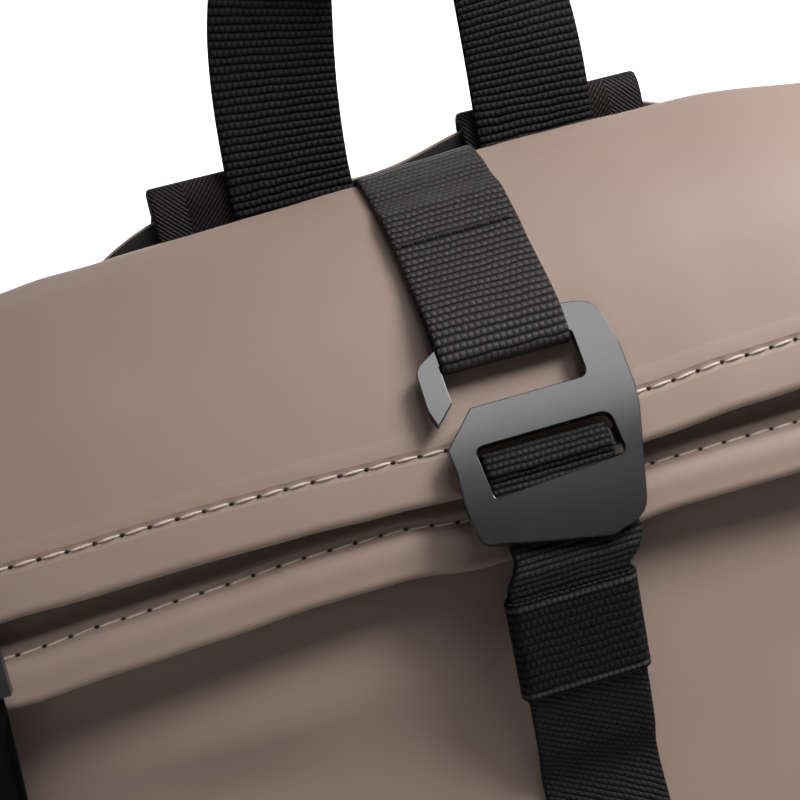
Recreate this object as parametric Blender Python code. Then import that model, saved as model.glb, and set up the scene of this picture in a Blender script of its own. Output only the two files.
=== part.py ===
"""Fold-over backpack of coated fabric, closed by a webbing strap and a flat open hook.

Metres, +Z up, front towards -Y. The origin is on the flat base, under the middle of the bag.
"""
import math

import bmesh
import bpy
from mathutils import Vector

MM = 0.001

# Driving sizes of the bag
BAG_WIDTH = 290 * MM
BAG_HEIGHT = 420 * MM
BAG_DEPTH = 118 * MM
BACK_Y = 60 * MM
FLAP_REACH = 79 * MM
FLAP_DROP = 84 * MM
END_DROOP = 10.5 * MM
LINE_SHIFT = 4 * MM
WALL = 1.6 * MM
HEM_WALL = 2.8 * MM
HEM_HEIGHT = 13 * MM
DENT_DEPTH = 3.0 * MM
RING_POINTS = 44
CLEARANCE = 0.3 * MM

# Webbing
STRAP_WIDTH = 30.5 * MM
STRAP_THICKNESS = 1.4 * MM
SHOULDER_WIDTH = 50 * MM
SHOULDER_THICKNESS = 2.2 * MM
LOWER_STRAP_WIDTH = 28 * MM
KEEPER_HEIGHT = 24.5 * MM
KEEPER_THICKNESS = 0.9 * MM
SIDE_STRAP_WIDTH = 20 * MM
SIDE_STRAP_PLACE = 0.93
SIDE_STRAP_LIFT = 1.2 * MM
SIDE_STRAP_SECTION_COUNT = 3
SIDE_SLIDER_HEIGHT = 10 * MM
SIDE_SLIDER_WALL = 1.8 * MM

# Seam on the back wall that holds the yoke, the handle and the straps
SEAM_DROP = 26 * MM
SEAM_ALLOWANCE = 6 * MM
YOKE_HALF_WIDTH = 84 * MM
YOKE_THICKNESS = 2.0 * MM
YOKE_LENGTH = 75 * MM
YOKE_TOP_DROP = 0.5 * MM
YOKE_DIP = 3.5 * MM
YOKE_END_FALL = 9 * MM
HANDLE_WIDTH = 31.8 * MM
HANDLE_SPACING = 66.4 * MM
HANDLE_STRAIGHT = 2 * MM
HANDLE_RISE = 84 * MM
HANDLE_LEAN = 4.5 * MM
HANDLE_X = 4.6 * MM
HARNESS_X = 2 * MM
SHOULDER_SPACING = 83 * MM
SHOULDER_TOP_RISE = 3.5 * MM
SHOULDER_STRAIGHT = 10 * MM
SHOULDER_BOW = 40 * MM
SHOULDER_SPREAD_LEFT = 30 * MM
SHOULDER_SPREAD_RIGHT = 16 * MM
SHOULDER_FOOT_HEIGHT = 34 * MM
SHOULDER_FOOT_LENGTH = 14 * MM

# Hook
HOOK_LENGTH = 46.6 * MM
HOOK_THICKNESS = 2.4 * MM
HOOK_TILT = math.radians(33)
HOOK_FROM_HEM = 26 * MM
HOOK_STANDOFF = 2.8 * MM
HOOK_EDGE = 0.45 * MM
HOOK_CROSSBAR_DROP = 24.3 * MM
HOOK_CROSSBAR_HEIGHT = 4.0 * MM
HOOK_CROSSBAR_THICKNESS = 1.6 * MM
HOOK_CROSSBAR_SINK = 1.3 * MM
HOOK_LUG = 2.0 * MM
STRAP_FOOT_HEIGHT = 62 * MM
LOWER_STRAP_X = -2.3 * MM
LOWER_LOOP_SLACK = 1.0 * MM
LOWER_STRAP_BELLY = 1.6 * MM

# The upper strap's loop round the hook's bar
HOOK_BAR_DROP = -2.0 * MM
LOOP_END_FROM_HOOK = 46 * MM
LOOP_OVER_RUN = 27 * MM
LOOP_UNDER_RUN = 15 * MM
LOOP_STEP_RUN = 6 * MM
LOOP_ENTRY_RUN = 8 * MM
LOOP_LEAVE_RUN = 5 * MM

# Sections of the bag below the fold, from the base up:
# height as a share of BAG_HEIGHT, front and back reach as shares of BAG_DEPTH from the back plane,
# width as a share of BAG_WIDTH
BODY_SECTIONS = [
    # height, front, back, width
    (0.000, 0.850, 0.050, 0.900),
    (0.009, 0.915, 0.018, 0.945),
    (0.033, 0.960, 0.000, 0.970),
    (0.119, 0.990, 0.000, 0.985),
    (0.238, 1.000, 0.000, 1.000),
    (0.357, 0.960, 0.000, 1.000),
    (0.476, 0.890, 0.000, 1.000),
    (0.583, 0.800, 0.000, 1.000),
    (0.667, 0.720, 0.000, 1.000),
    (0.733, 0.655, 0.000, 1.000),
]

# Sections of the folded mouth, from the neck over the fold to the two hems:
# reach as a share of FLAP_REACH from the back plane and drop below the top as a share of FLAP_DROP,
# for the inner layer (the front wall) and the outer layer (the back wall), then the end droop's share
FOLD_SECTIONS = [
    # inner reach, inner drop, outer reach, outer drop, droop
    (0.886, 1.024, 0.000, 1.024, 0.00),
    (0.797, 0.881, 0.000, 0.833, 0.10),
    (0.696, 0.738, 0.000, 0.643, 0.30),
    (0.582, 0.571, 0.000, 0.452, 0.55),
    (0.468, 0.405, 0.000, 0.286, 0.80),
    (0.380, 0.274, 0.013, 0.179, 0.95),
    (0.327, 0.214, 0.057, 0.083, 1.00),
    (0.322, 0.185, 0.177, 0.000, 1.00),
    (0.335, 0.167, 0.278, 0.017, 1.00),
    (0.359, 0.179, 0.405, 0.077, 0.90),
    (0.544, 0.333, 0.582, 0.202, 0.70),
    (0.684, 0.488, 0.722, 0.345, 0.50),
    (0.778, 0.643, 0.816, 0.476, 0.35),
    (0.861, 0.792, 0.899, 0.607, 0.22),
    (0.930, 0.905, 0.962, 0.714, 0.15),
    (0.981, 1.000, 1.000, 0.786, 0.12),
]

# How the fold and the two hems rise or fall across the bag, as shares of LINE_SHIFT
LINES_ACROSS = [
    # across, fold, outer hem, inner hem
    (-1.00, -0.25, 1.05, -0.70),
    (-0.86, -0.30, 0.93, -0.53),
    (-0.68, -0.45, 0.55, 0.00),
    (-0.55, -0.75, 0.52, 0.22),
    (-0.38, -0.90, 0.40, 0.55),
    (-0.24, -0.87, 0.20, 0.55),
    (-0.12, -0.74, 0.00, 0.00),
    (0.00, -0.54, 0.00, 0.00),
    (0.12, -0.34, 0.00, 0.00),
    (0.20, -0.22, 0.30, 0.25),
    (0.35, -0.08, 0.70, 0.25),
    (0.54, 0.25, 1.00, 0.25),
    (0.72, 0.08, 1.00, 0.25),
    (1.00, 0.00, 1.00, 0.25),
]
FOLD_TOP_ROW = 7

# Soft dents pressed into the front wall: place across as a share of half the width, height as a share
# of BAG_HEIGHT, their reach across and up in the same shares, depth as a share of DENT_DEPTH
FRONT_DENTS = [
    # across, height, reach across, reach up, depth
    (-0.62, 0.690, 0.30, 0.050, 1.00),
    (0.55, 0.700, 0.28, 0.045, 0.90),
    (-0.40, 0.450, 0.34, 0.100, 0.70),
    (0.62, 0.400, 0.30, 0.120, 0.80),
    (-0.75, 0.200, 0.22, 0.110, 0.75),
    (0.35, 0.170, 0.26, 0.080, 0.50),
]

# The hook's outline in its own plane: across from the strap's middle as a share of STRAP_WIDTH, down
# from the strap's bar as a share of HOOK_LENGTH, and each corner's radius as a share of HOOK_LENGTH
HOOK_OUTLINE = [
    # across, down, radius
    (-0.511, -0.107, 0.043),
    (-0.689, -0.039, 0.086),
    (-0.695, 0.176, 0.086),
    (-0.656, 0.270, 0.009),
    (-0.505, 0.174, 0.009),
    (-0.508, -0.028, 0.017),
    (0.521, -0.028, 0.017),
    (0.521, 0.215, 0.047),
    (-0.393, 0.219, 0.011),
    (-0.649, 0.395, 0.011),
    (-0.636, 0.515, 0.129),
    (-0.662, 0.687, 0.172),
    (-0.623, 0.876, 0.064),
    (-0.230, 0.936, 0.172),
    (0.295, 1.000, 0.086),
    (0.584, 0.944, 0.150),
    (0.682, 0.725, 0.215),
    (0.833, 0.376, 0.386),
    (0.833, 0.097, 0.215),
    (0.774, -0.159, 0.172),
    (0.426, -0.185, 0.064),
]
HOOK_SLOT = [
    # across, down, radius
    (-0.459, 0.418, 0.043),
    (0.577, 0.412, 0.056),
    (0.597, 0.637, 0.047),
    (-0.436, 0.682, 0.021),
]


def clear_scene():
    for item in list(bpy.data.objects):
        bpy.data.objects.remove(item, do_unlink=True)


def material(name, colour, roughness, metallic=0.0):
    made = bpy.data.materials.new(name)
    made.use_nodes = True
    shader = made.node_tree.nodes["Principled BSDF"]
    shader.inputs["Base Color"].default_value = (*colour, 1.0)
    shader.inputs["Roughness"].default_value = roughness
    shader.inputs["Metallic"].default_value = metallic
    return made


def add_object(name, bm, finish):
    bmesh.ops.recalc_face_normals(bm, faces=bm.faces)
    mesh = bpy.data.meshes.new(name)
    bm.to_mesh(mesh)
    bm.free()
    made = bpy.data.objects.new(name, mesh)
    made.data.materials.append(finish)
    bpy.context.scene.collection.objects.link(made)
    return made


# Curves in a plane, as lists of 2-D vectors

def smooth_rows(rows, steps):
    """A Catmull-Rom curve through rows of numbers, with the given steps between neighbours."""
    out = []
    last = len(rows) - 1
    for index in range(last):
        before = rows[max(index - 1, 0)]
        after = rows[min(index + 2, last)]
        for step in range(steps):
            t = step / steps
            row = []
            for a, b, c, d in zip(before, rows[index], rows[index + 1], after):
                row.append(0.5 * (2 * b + (c - a) * t + (2 * a - 5 * b + 4 * c - d) * t * t
                                  + (3 * b - a - 3 * c + d) * t ** 3))
            out.append(tuple(row))
    out.append(tuple(rows[last]))
    return out


def left_normals(points):
    """The left-hand unit normal at each point, and the factor that keeps an offset's width at a bend."""
    found = []
    for index, point in enumerate(points):
        before = points[max(index - 1, 0)]
        after = points[min(index + 1, len(points) - 1)]
        first = (point - before).normalized() if index else (after - point).normalized()
        second = (after - point).normalized() if index < len(points) - 1 else first
        middle = (first + second).normalized()
        stretch = 1.0 / max(middle.dot(first), 0.5)
        found.append((Vector((-middle.y, middle.x)), stretch))
    return found


def offset(points, distance):
    """Moves a curve to its left by a distance, which may be a list with a value for each point."""
    distances = distance if isinstance(distance, list) else [distance] * len(points)
    return [point + normal * stretch * far
            for point, (normal, stretch), far in zip(points, left_normals(points), distances)]


def lengths_along(points):
    found = [0.0]
    for first, second in zip(points, points[1:]):
        found.append(found[-1] + (second - first).length)
    return found


def point_along(points, distance):
    """The point at a distance along a curve, with the left-hand normal there."""
    done = lengths_along(points)
    for index in range(len(points) - 1):
        if done[index + 1] >= distance or index == len(points) - 2:
            run = points[index + 1] - points[index]
            share = (distance - done[index]) / run.length
            run_unit = run.normalized()
            return points[index] + run * share, Vector((-run_unit.y, run_unit.x))
    return points[-1], Vector((0, 1))


def part_of(points, start, end):
    """The stretch of a curve between two distances along it, with its own end points."""
    done = lengths_along(points)
    middle = [point for point, far in zip(points, done) if start + 1 * MM < far < end - 1 * MM]
    return [point_along(points, start)[0]] + middle + [point_along(points, end)[0]]


# The bag's sections, from base to mouth

def bag_profiles():
    """Inner-layer and outer-layer curves in the YZ plane, with width and droop shares, wall and the
    shares of the fold's and the hems' shift.
    """
    rows = []
    for height, front, back, width in BODY_SECTIONS:
        z = height * BAG_HEIGHT
        rows.append((BACK_Y - front * BAG_DEPTH, z, BACK_Y - back * BAG_DEPTH, z, width, 0.0))
    neck = len(rows)
    for inner_reach, inner_drop, outer_reach, outer_drop, droop in FOLD_SECTIONS:
        rows.append((BACK_Y - inner_reach * FLAP_REACH, BAG_HEIGHT - inner_drop * FLAP_DROP,
                     BACK_Y - outer_reach * FLAP_REACH, BAG_HEIGHT - outer_drop * FLAP_DROP,
                     1.0, droop))
    rows = rows[:neck] + smooth_rows(rows[neck:], 2)
    inner = [Vector((row[0], row[1])) for row in rows]
    outer = [Vector((row[2], row[3])) for row in rows]
    mouth = lengths_along(outer)[-1]
    walls = []
    for far in lengths_along(outer):
        share = max(0.0, min(1.0, 1 - (mouth - far - HEM_HEIGHT) / (3 * MM)))
        walls.append(WALL + (HEM_WALL - WALL) * share)
    shifts = [(0.0, 0.0)] * neck
    top = FOLD_TOP_ROW / (len(FOLD_SECTIONS) - 1)
    for index in range(len(rows) - neck):
        share = index / (len(rows) - neck - 1)
        shifts.append((ease(share / top), ease((share - top) / (1 - top))))
    return inner, outer, [row[4] for row in rows], [row[5] for row in rows], walls, shifts


def ease(share):
    share = max(0.0, min(1.0, share))
    return share * share * (3 - 2 * share)


def line_shift(across, deep, rise, hem):
    """How far a place across the fold lies above its straight line; deep is -1 inner to 1 outer."""
    for low, high in zip(LINES_ACROSS, LINES_ACROSS[1:]):
        if across <= high[0]:
            break
    share = max(0.0, min(1.0, (across - low[0]) / (high[0] - low[0])))
    fold, outer, inner = [a + (b - a) * share for a, b in zip(low[1:], high[1:])]
    at_hem = inner + (outer - inner) * (1 + deep) / 2
    return LINE_SHIFT * rise * (fold + (at_hem - fold) * hem)


def unit_ring(count, exponent, half_width, half_depth):
    """Angle-like points of a superellipse, spaced evenly round a section of the given size."""
    fine = 720
    dense = []
    for step in range(fine + 1):
        angle = 2 * math.pi * step / fine
        across = math.copysign(abs(math.cos(angle)) ** (2 / exponent), math.cos(angle))
        deep = math.copysign(abs(math.sin(angle)) ** (2 / exponent), math.sin(angle))
        dense.append((across, deep))
    run = [0.0]
    for (a, b), (c, d) in zip(dense, dense[1:]):
        run.append(run[-1] + math.hypot((c - a) * half_width, (d - b) * half_depth))
    ring = []
    place = 0
    for index in range(count):
        wanted = run[-1] * index / count
        while run[place + 1] < wanted:
            place += 1
        share = (wanted - run[place]) / (run[place + 1] - run[place])
        ring.append((dense[place][0] + (dense[place + 1][0] - dense[place][0]) * share,
                     dense[place][1] + (dense[place + 1][1] - dense[place][1]) * share))
    return ring


def dent_at(across, height):
    """How far the front wall is pressed in at a place, both given as shares."""
    total = 0.0
    for middle, up, reach_across, reach_up, depth in FRONT_DENTS:
        away = ((across - middle) / reach_across) ** 2 + ((height - up) / reach_up) ** 2
        if away < 1:
            total += depth * DENT_DEPTH * (1 - away) ** 2
    return total


def section_points(ring, inner, outer, half_width, droop, shift):
    """One closed section of the bag between its two layers' points."""
    middle = (inner + outer) / 2
    reach = (outer - inner) / 2
    points = []
    for across, deep in ring:
        x = across * half_width
        place = middle + reach * deep
        fall = END_DROOP * droop * abs(across) ** 2.5 - line_shift(across, deep, *shift)
        press = dent_at(across, place.y / BAG_HEIGHT) if deep < 0 and droop == 0 else 0.0
        points.append(Vector((x, place.x + press * -deep, place.y - fall)))
    return points


def bag_surfaces():
    inner, outer, widths, droops, walls, shifts = bag_profiles()
    ring = unit_ring(RING_POINTS, 4.0, BAG_WIDTH / 2, BAG_DEPTH / 2)
    thin_inner = offset(inner, [-wall for wall in walls])
    thin_outer = offset(outer, walls)
    outside = []
    inside = []
    for index, width in enumerate(widths):
        half = width * BAG_WIDTH / 2
        outside.append(section_points(ring, inner[index], outer[index], half, droops[index],
                                      shifts[index]))
        inside.append(section_points(ring, thin_inner[index], thin_outer[index],
                                     half - walls[index], droops[index], shifts[index]))
    # the cavity starts one wall above the base
    for point in inside[0]:
        point.z = WALL
    return outside, inside


def bridge(bm, first, second):
    count = len(first)
    for index in range(count):
        after = (index + 1) % count
        bm.faces.new((first[index], first[after], second[after], second[index]))


def make_bag(finish):
    outside, inside = bag_surfaces()
    bm = bmesh.new()
    outer_rings = [[bm.verts.new(point) for point in ring] for ring in outside]
    inner_rings = [[bm.verts.new(point) for point in ring] for ring in inside]
    for first, second in zip(outer_rings, outer_rings[1:]):
        bridge(bm, first, second)
    for first, second in zip(inner_rings, inner_rings[1:]):
        bridge(bm, second, first)
    bridge(bm, outer_rings[-1], inner_rings[-1])
    bm.faces.new(reversed(outer_rings[0]))
    bm.faces.new(inner_rings[0])
    bag = add_object("bag_body", bm, finish)
    bag.data.shade_smooth()
    bag.data.set_sharp_from_angle(angle=math.radians(40))
    return bag


# Straps: flat bands swept along a centre line

def sweep_band(name, centres, sides, width, thickness, finish, move=None):
    """A closed band with a flat section, along 3-D points, with its width along each point's side.

    The width may be a list with a value for each point; move gives each corner's final place.
    """
    widths = width if isinstance(width, list) else [width] * len(centres)
    bm = bmesh.new()
    rings = []
    last = len(centres) - 1
    for index, centre in enumerate(centres):
        before = (centre - centres[index - 1]).normalized() if index else None
        after = (centres[index + 1] - centre).normalized() if index < last else None
        before = before or after
        after = after or before
        run = (before + after).normalized()
        side = (sides[index] - run * sides[index].dot(run)).normalized()
        stretch = 1.0 / max(run.dot(before), 0.5)
        up = run.cross(side) * (thickness / 2) * stretch
        half = side * (widths[index] / 2)
        corners = [centre + half + up, centre - half + up, centre - half - up, centre + half - up]
        if move:
            corners = [move(index, corner) for corner in corners]
        rings.append([bm.verts.new(corner) for corner in corners])
    for first, second in zip(rings, rings[1:]):
        bridge(bm, first, second)
    bm.faces.new(reversed(rings[0]))
    bm.faces.new(rings[-1])
    return add_object(name, bm, finish)


def flat_band(name, curve, across, width, thickness, finish, lift=None):
    """A band along a curve in the YZ plane, with its width along X and each point's place across."""
    centres = [Vector((0, point.x, point.y)) for point in curve]

    def move(index, corner):
        moved = corner + Vector((across[index], 0, 0))
        return moved + Vector((0, 0, lift(moved))) if lift else moved

    return sweep_band(name, centres, [Vector((1, 0, 0))] * len(centres), width, thickness, finish, move)


# The hook's own plane: a point across, down and out from the strap's bar

def hook_frame(outer):
    """The hook's origin in the YZ plane, with its down and outward directions."""
    mouth_first = list(reversed(outer))
    at_bar, normal = point_along(mouth_first, HOOK_FROM_HEM)
    # the outer layer runs upwards here, so its left-hand normal points to the front
    down = Vector((-math.sin(HOOK_TILT), -math.cos(HOOK_TILT)))
    out = Vector((-math.cos(HOOK_TILT), math.sin(HOOK_TILT)))
    return at_bar + normal * HOOK_STANDOFF, down, out


def rounded_outline(corners, segments):
    """A closed outline whose corners are replaced by arcs of the radius that each gives."""
    points = []
    count = len(corners)
    for index, (across, down, radius) in enumerate(corners):
        corner = Vector((across, down))
        back = Vector(corners[index - 1][:2]) - corner
        ahead = Vector(corners[(index + 1) % count][:2]) - corner
        turn = math.acos(max(-1.0, min(1.0, back.normalized().dot(ahead.normalized()))))
        reach = min(radius / math.tan(turn / 2), 0.48 * back.length, 0.48 * ahead.length)
        start = corner + back.normalized() * reach
        end = corner + ahead.normalized() * reach
        steps = max(1, round(segments * (math.pi - turn) / math.pi * min(1.0, radius / (2 * MM) + 0.3)))
        for step in range(steps + 1):
            t = step / steps
            points.append(start * (1 - t) ** 2 + corner * 2 * t * (1 - t) + end * t ** 2)
    return points


def hook_corners(table):
    """A table's corners at their real size: across, down, radius."""
    return [(across * STRAP_WIDTH, down * HOOK_LENGTH, radius * HOOK_LENGTH)
            for across, down, radius in table]


def plate(name, outline, frame, low, high, finish):
    """A flat plate between two heights above the hook's plane, from an outline in that plane."""
    origin, down, out = frame
    bm = bmesh.new()
    rings = []
    for height in (low, high):
        ring = []
        for point in outline:
            place = origin + down * point.y + out * height
            ring.append(bm.verts.new((point.x, place.x, place.y)))
        rings.append(ring)
    bridge(bm, rings[0], rings[1])
    bm.faces.new(reversed(rings[0]))
    bm.faces.new(rings[1])
    return add_object(name, bm, finish)


def cut(target, cutter):
    cutter.hide_render = True
    cutter.display_type = "WIRE"
    boolean = target.modifiers.new("cut_" + cutter.name, "BOOLEAN")
    boolean.operation = "DIFFERENCE"
    boolean.object = cutter


def crossbar(name, frame, finish):
    """The sunk bar behind the slot, with a lug at each end that joins it to the plate."""
    origin, down, out = frame
    slot = hook_corners(HOOK_SLOT)
    left = min(corner[0] for corner in slot)
    right = max(corner[0] for corner in slot)
    front = HOOK_CROSSBAR_THICKNESS / 2 - HOOK_CROSSBAR_SINK
    back = front - HOOK_CROSSBAR_THICKNESS
    lug_top = HOOK_THICKNESS / 4
    staple = [(left - HOOK_LUG, lug_top), (left - HOOK_LUG, back), (right + HOOK_LUG, back),
              (right + HOOK_LUG, lug_top), (right, lug_top), (right, front), (left, front),
              (left, lug_top)]
    bm = bmesh.new()
    rings = []
    for edge in (-HOOK_CROSSBAR_HEIGHT / 2, HOOK_CROSSBAR_HEIGHT / 2):
        ring = []
        for across, height in staple:
            place = origin + down * (HOOK_CROSSBAR_DROP + edge) + out * height
            ring.append(bm.verts.new((across, place.x, place.y)))
        rings.append(ring)
    bridge(bm, rings[0], rings[1])
    bm.faces.new(reversed(rings[0]))
    bm.faces.new(rings[1])
    return add_object(name, bm, finish)


def make_hook(frame, finish):
    hook = plate("g_hook", rounded_outline(hook_corners(HOOK_OUTLINE), 14), frame, 0.0,
                 HOOK_THICKNESS, finish)
    slot = plate("hook_slot_cutter", rounded_outline(hook_corners(HOOK_SLOT), 12), frame,
                 -HOOK_THICKNESS, 2 * HOOK_THICKNESS, finish)
    cut(hook, slot)
    bevel = hook.modifiers.new("edge", "BEVEL")
    bevel.width = HOOK_EDGE
    bevel.segments = 2
    bevel.limit_method = "ANGLE"
    bevel.angle_limit = math.radians(50)
    bar = crossbar("hook_bar_guide", frame, finish)
    bar.hide_render = True
    bar.display_type = "WIRE"
    join = hook.modifiers.new("bar", "BOOLEAN")
    join.operation = "UNION"
    join.object = bar
    return hook


def bar_turn(frame, drop, way, radius, start_out, steps):
    """A half turn round a point of the hook's plane, front to back, bulging down (1) or up (-1)."""
    origin, down, out = frame
    centre = origin + down * drop
    points = []
    for step in range(steps + 1):
        angle = math.pi * step / steps
        points.append(centre + out * (start_out + radius * math.cos(angle))
                      + down * (way * radius * math.sin(angle)))
    return points


def place_along(curve, place):
    """The point of the curve nearest to a place, as an index with a share of the way to the next."""
    nearest = []
    for index, (low, high) in enumerate(zip(curve, curve[1:])):
        along = high - low
        share = max(0.0, min(1.0, (place - low).dot(along) / along.length_squared))
        nearest.append(((low + along * share - place).length, index + share))
    return min(nearest)[1]


def fold_shift(outer, shifts, still):
    """The front strap's shift at a corner: as the surface below it, and none from the still place on."""

    def shares(place):
        spot = place_along(outer, place)
        index = min(int(spot), len(shifts) - 2)
        low, high = shifts[index], shifts[index + 1]
        return [a + (b - a) * (spot - index) for a, b in zip(low, high)]

    last = shares(still)[1]

    def shift(corner):
        rise, hem = shares(Vector((corner.y, corner.z)))
        return line_shift(2 * corner.x / BAG_WIDTH, 1.0, rise, 0.0) * max(0.0, 1 - hem / last)

    return shift


def make_front_strap(outer, shifts, frame, finish):
    """From the seam behind, over the fold, down to the hook's bar, round it and back under itself."""
    half = STRAP_THICKNESS / 2
    single = CLEARANCE + half
    bar_middle = HOOK_THICKNESS / 2
    turn_radius = HOOK_THICKNESS / 2 + CLEARANCE + half
    done = lengths_along(outer)
    total = done[-1]
    seam = next(far for far, point in zip(done, outer) if point.y > BAG_HEIGHT - SEAM_DROP - SEAM_ALLOWANCE)
    loop_end = total - HOOK_FROM_HEM - LOOP_END_FROM_HOOK
    over = part_of(outer, seam, loop_end - LOOP_STEP_RUN)
    # the two layers lie one over the other from the loop's end to the bar
    under_run = part_of(outer, loop_end, total - HOOK_FROM_HEM - LOOP_UNDER_RUN)
    over_run = part_of(outer, loop_end, total - HOOK_FROM_HEM - LOOP_OVER_RUN)
    under_layer = offset(under_run, [-single] * len(under_run))
    over_layer = offset(over_run, [-(2 * STRAP_THICKNESS + 2 * CLEARANCE - half)] * len(over_run))
    turn = bar_turn(frame, HOOK_BAR_DROP, 1, turn_radius, bar_middle, 6)
    entry = turn[0] - frame[1] * LOOP_ENTRY_RUN
    leave = turn[-1] - frame[1] * LOOP_LEAVE_RUN
    curve = offset(over, -single) + over_layer + [entry] + turn + [leave] + list(reversed(under_layer))
    return flat_band("front_strap", curve, [0.0] * len(curve), STRAP_WIDTH, STRAP_THICKNESS, finish,
                     fold_shift(outer, shifts, under_run[-1]))


def lower_strap_parts(inner, frame):
    """The lower strap's stretches in the YZ plane: lying on the front, rising free, and at the hook."""
    half = STRAP_THICKNESS / 2
    origin, down, out = frame
    front = offset(inner, CLEARANCE + half)
    heights = [point.y for point in inner[:len(BODY_SECTIONS)]]
    foot = next(place for place, height in enumerate(heights) if height > STRAP_FOOT_HEIGHT)
    share = (STRAP_FOOT_HEIGHT - heights[foot - 1]) / (heights[foot] - heights[foot - 1])
    lying = [front[foot - 1].lerp(front[foot], share)] + front[foot:len(BODY_SECTIONS) - 1]
    behind = -(CLEARANCE + half)
    slot_bottom = min(corner[1] for corner in hook_corners(HOOK_SLOT)[2:])
    under_edge = origin + down * HOOK_LENGTH + out * behind
    behind_plate = origin + down * (slot_bottom - CLEARANCE) + out * behind
    belly = Vector((-LOWER_STRAP_BELLY, 0))
    free = [lying[-1].lerp(under_edge, share) + belly * bulge
            for share, bulge in ((0.22, 0.7), (0.43, 1.0), (0.90, 1.0))]
    turn = bar_turn(frame, HOOK_CROSSBAR_DROP - HOOK_CROSSBAR_HEIGHT / 2 + CLEARANCE, -1,
                    HOOK_CROSSBAR_THICKNESS / 2 + CLEARANCE + half, -HOOK_CROSSBAR_SINK, 6)
    return lying, free, [under_edge, behind_plate], turn


def lower_strap_rise(points, free, behind):
    """Each point's share of the way from the keeper's upper edge to the hook's lower edge."""
    low = free[2].y
    high = behind[0].y
    return [max(0.0, min(1.0, (point.y - low) / (high - low))) for point in points]


def make_lower_strap(inner, frame, finish):
    """Up the front, through the hook's slot, round its sunk bar and back down behind itself."""
    lying, free, behind, turn = lower_strap_parts(inner, frame)
    origin, down, out = frame
    layer = STRAP_THICKNESS + CLEARANCE
    radius = HOOK_CROSSBAR_THICKNESS / 2 + CLEARANCE + STRAP_THICKNESS / 2
    bar_edge = (origin + down * (HOOK_CROSSBAR_DROP + HOOK_CROSSBAR_HEIGHT / 2)
                - out * HOOK_CROSSBAR_SINK)
    up_run = free + behind
    tail = offset(up_run, [-layer] * len(up_run))
    curve = (lying + up_run + [bar_edge + out * radius] + turn + [bar_edge - out * radius]
             + list(reversed(tail[1:])))
    slot = sorted(corner[0] for corner in hook_corners(HOOK_SLOT))
    loop_width = slot[2] - slot[1] - 2 * CLEARANCE - LOWER_LOOP_SLACK
    loop_x = slot[1] + CLEARANCE + loop_width / 2
    rises = lower_strap_rise(curve, free, behind)
    across = [LOWER_STRAP_X + (loop_x - LOWER_STRAP_X) * rise for rise in rises]
    widths = [LOWER_STRAP_WIDTH + (loop_width - LOWER_STRAP_WIDTH) * min(1.0, 3 * rise)
              for rise in rises]
    return flat_band("lower_strap", curve, across, widths, STRAP_THICKNESS, finish)


def make_keeper(inner, frame, finish):
    """The band that holds the lower strap's two layers together below the hook."""
    free = lower_strap_parts(inner, frame)[1]
    layer = STRAP_THICKNESS + CLEARANCE
    along = free[2] - free[1]
    behind = Vector((along.y, -along.x)).normalized()
    middle = free[1].lerp(free[2], 0.5) + behind * (layer / 2)
    return make_ring_band("strap_keeper", Vector((LOWER_STRAP_X, middle.x, middle.y)),
                          Vector((0, along.x, along.y)), Vector((1, 0, 0)),
                          LOWER_STRAP_WIDTH + 2 * CLEARANCE,
                          STRAP_THICKNESS + layer + 2 * CLEARANCE, KEEPER_HEIGHT, KEEPER_THICKNESS,
                          finish)


def make_ring_band(name, middle, along, side, hole_width, hole_depth, height, wall, finish):
    """A band that goes round a strap: a rectangular tube along a direction."""
    along = along.normalized()
    side = (side - along * side.dot(along)).normalized()
    out = along.cross(side)
    bm = bmesh.new()
    rings = []
    for end in (-height / 2, height / 2):
        for grow in (0.0, wall):
            ring = []
            for a, b in ((1, 1), (-1, 1), (-1, -1), (1, -1)):
                ring.append(bm.verts.new(middle + along * end + side * a * (hole_width / 2 + grow)
                                         + out * b * (hole_depth / 2 + grow)))
            rings.append(ring)
    low_hole, low_outside, high_hole, high_outside = rings
    bridge(bm, low_outside, high_outside)
    bridge(bm, high_hole, low_hole)
    bridge(bm, low_hole, low_outside)
    bridge(bm, high_outside, high_hole)
    return add_object(name, bm, finish)


def make_yoke(finish):
    """The panel behind the fold: its top edge dips between the handle's ends and falls at its sides."""
    low = BACK_Y + 4 * CLEARANCE + 2 * STRAP_THICKNESS + SHOULDER_THICKNESS
    top = BAG_HEIGHT - YOKE_TOP_DROP
    bottom = BAG_HEIGHT - YOKE_LENGTH
    columns = 18
    bm = bmesh.new()
    rows = []
    for face in (low, low + YOKE_THICKNESS):
        for edge in (0, 1):
            row = []
            for index in range(columns + 1):
                share = 2 * index / columns - 1
                x = share * YOKE_HALF_WIDTH
                dip = YOKE_DIP * max(0.0, 1 - (x / (HANDLE_SPACING / 2)) ** 2)
                fall = YOKE_END_FALL * max(0.0, (abs(share) - 0.72) / 0.28) ** 1.6
                z = bottom if edge == 0 else top - dip - fall
                row.append(bm.verts.new((HARNESS_X + x, face, z)))
            rows.append(row)
    front_low, front_high, back_low, back_high = rows
    bridge_open(bm, front_low, front_high)
    bridge_open(bm, back_high, back_low)
    bridge_open(bm, front_high, back_high)
    bridge_open(bm, back_low, front_low)
    bm.faces.new((front_low[0], front_high[0], back_high[0], back_low[0]))
    bm.faces.new((front_low[-1], back_low[-1], back_high[-1], front_high[-1]))
    return add_object("back_yoke", bm, finish)


def bridge_open(bm, first, second):
    for index in range(len(first) - 1):
        bm.faces.new((first[index], first[index + 1], second[index + 1], second[index]))


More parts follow.
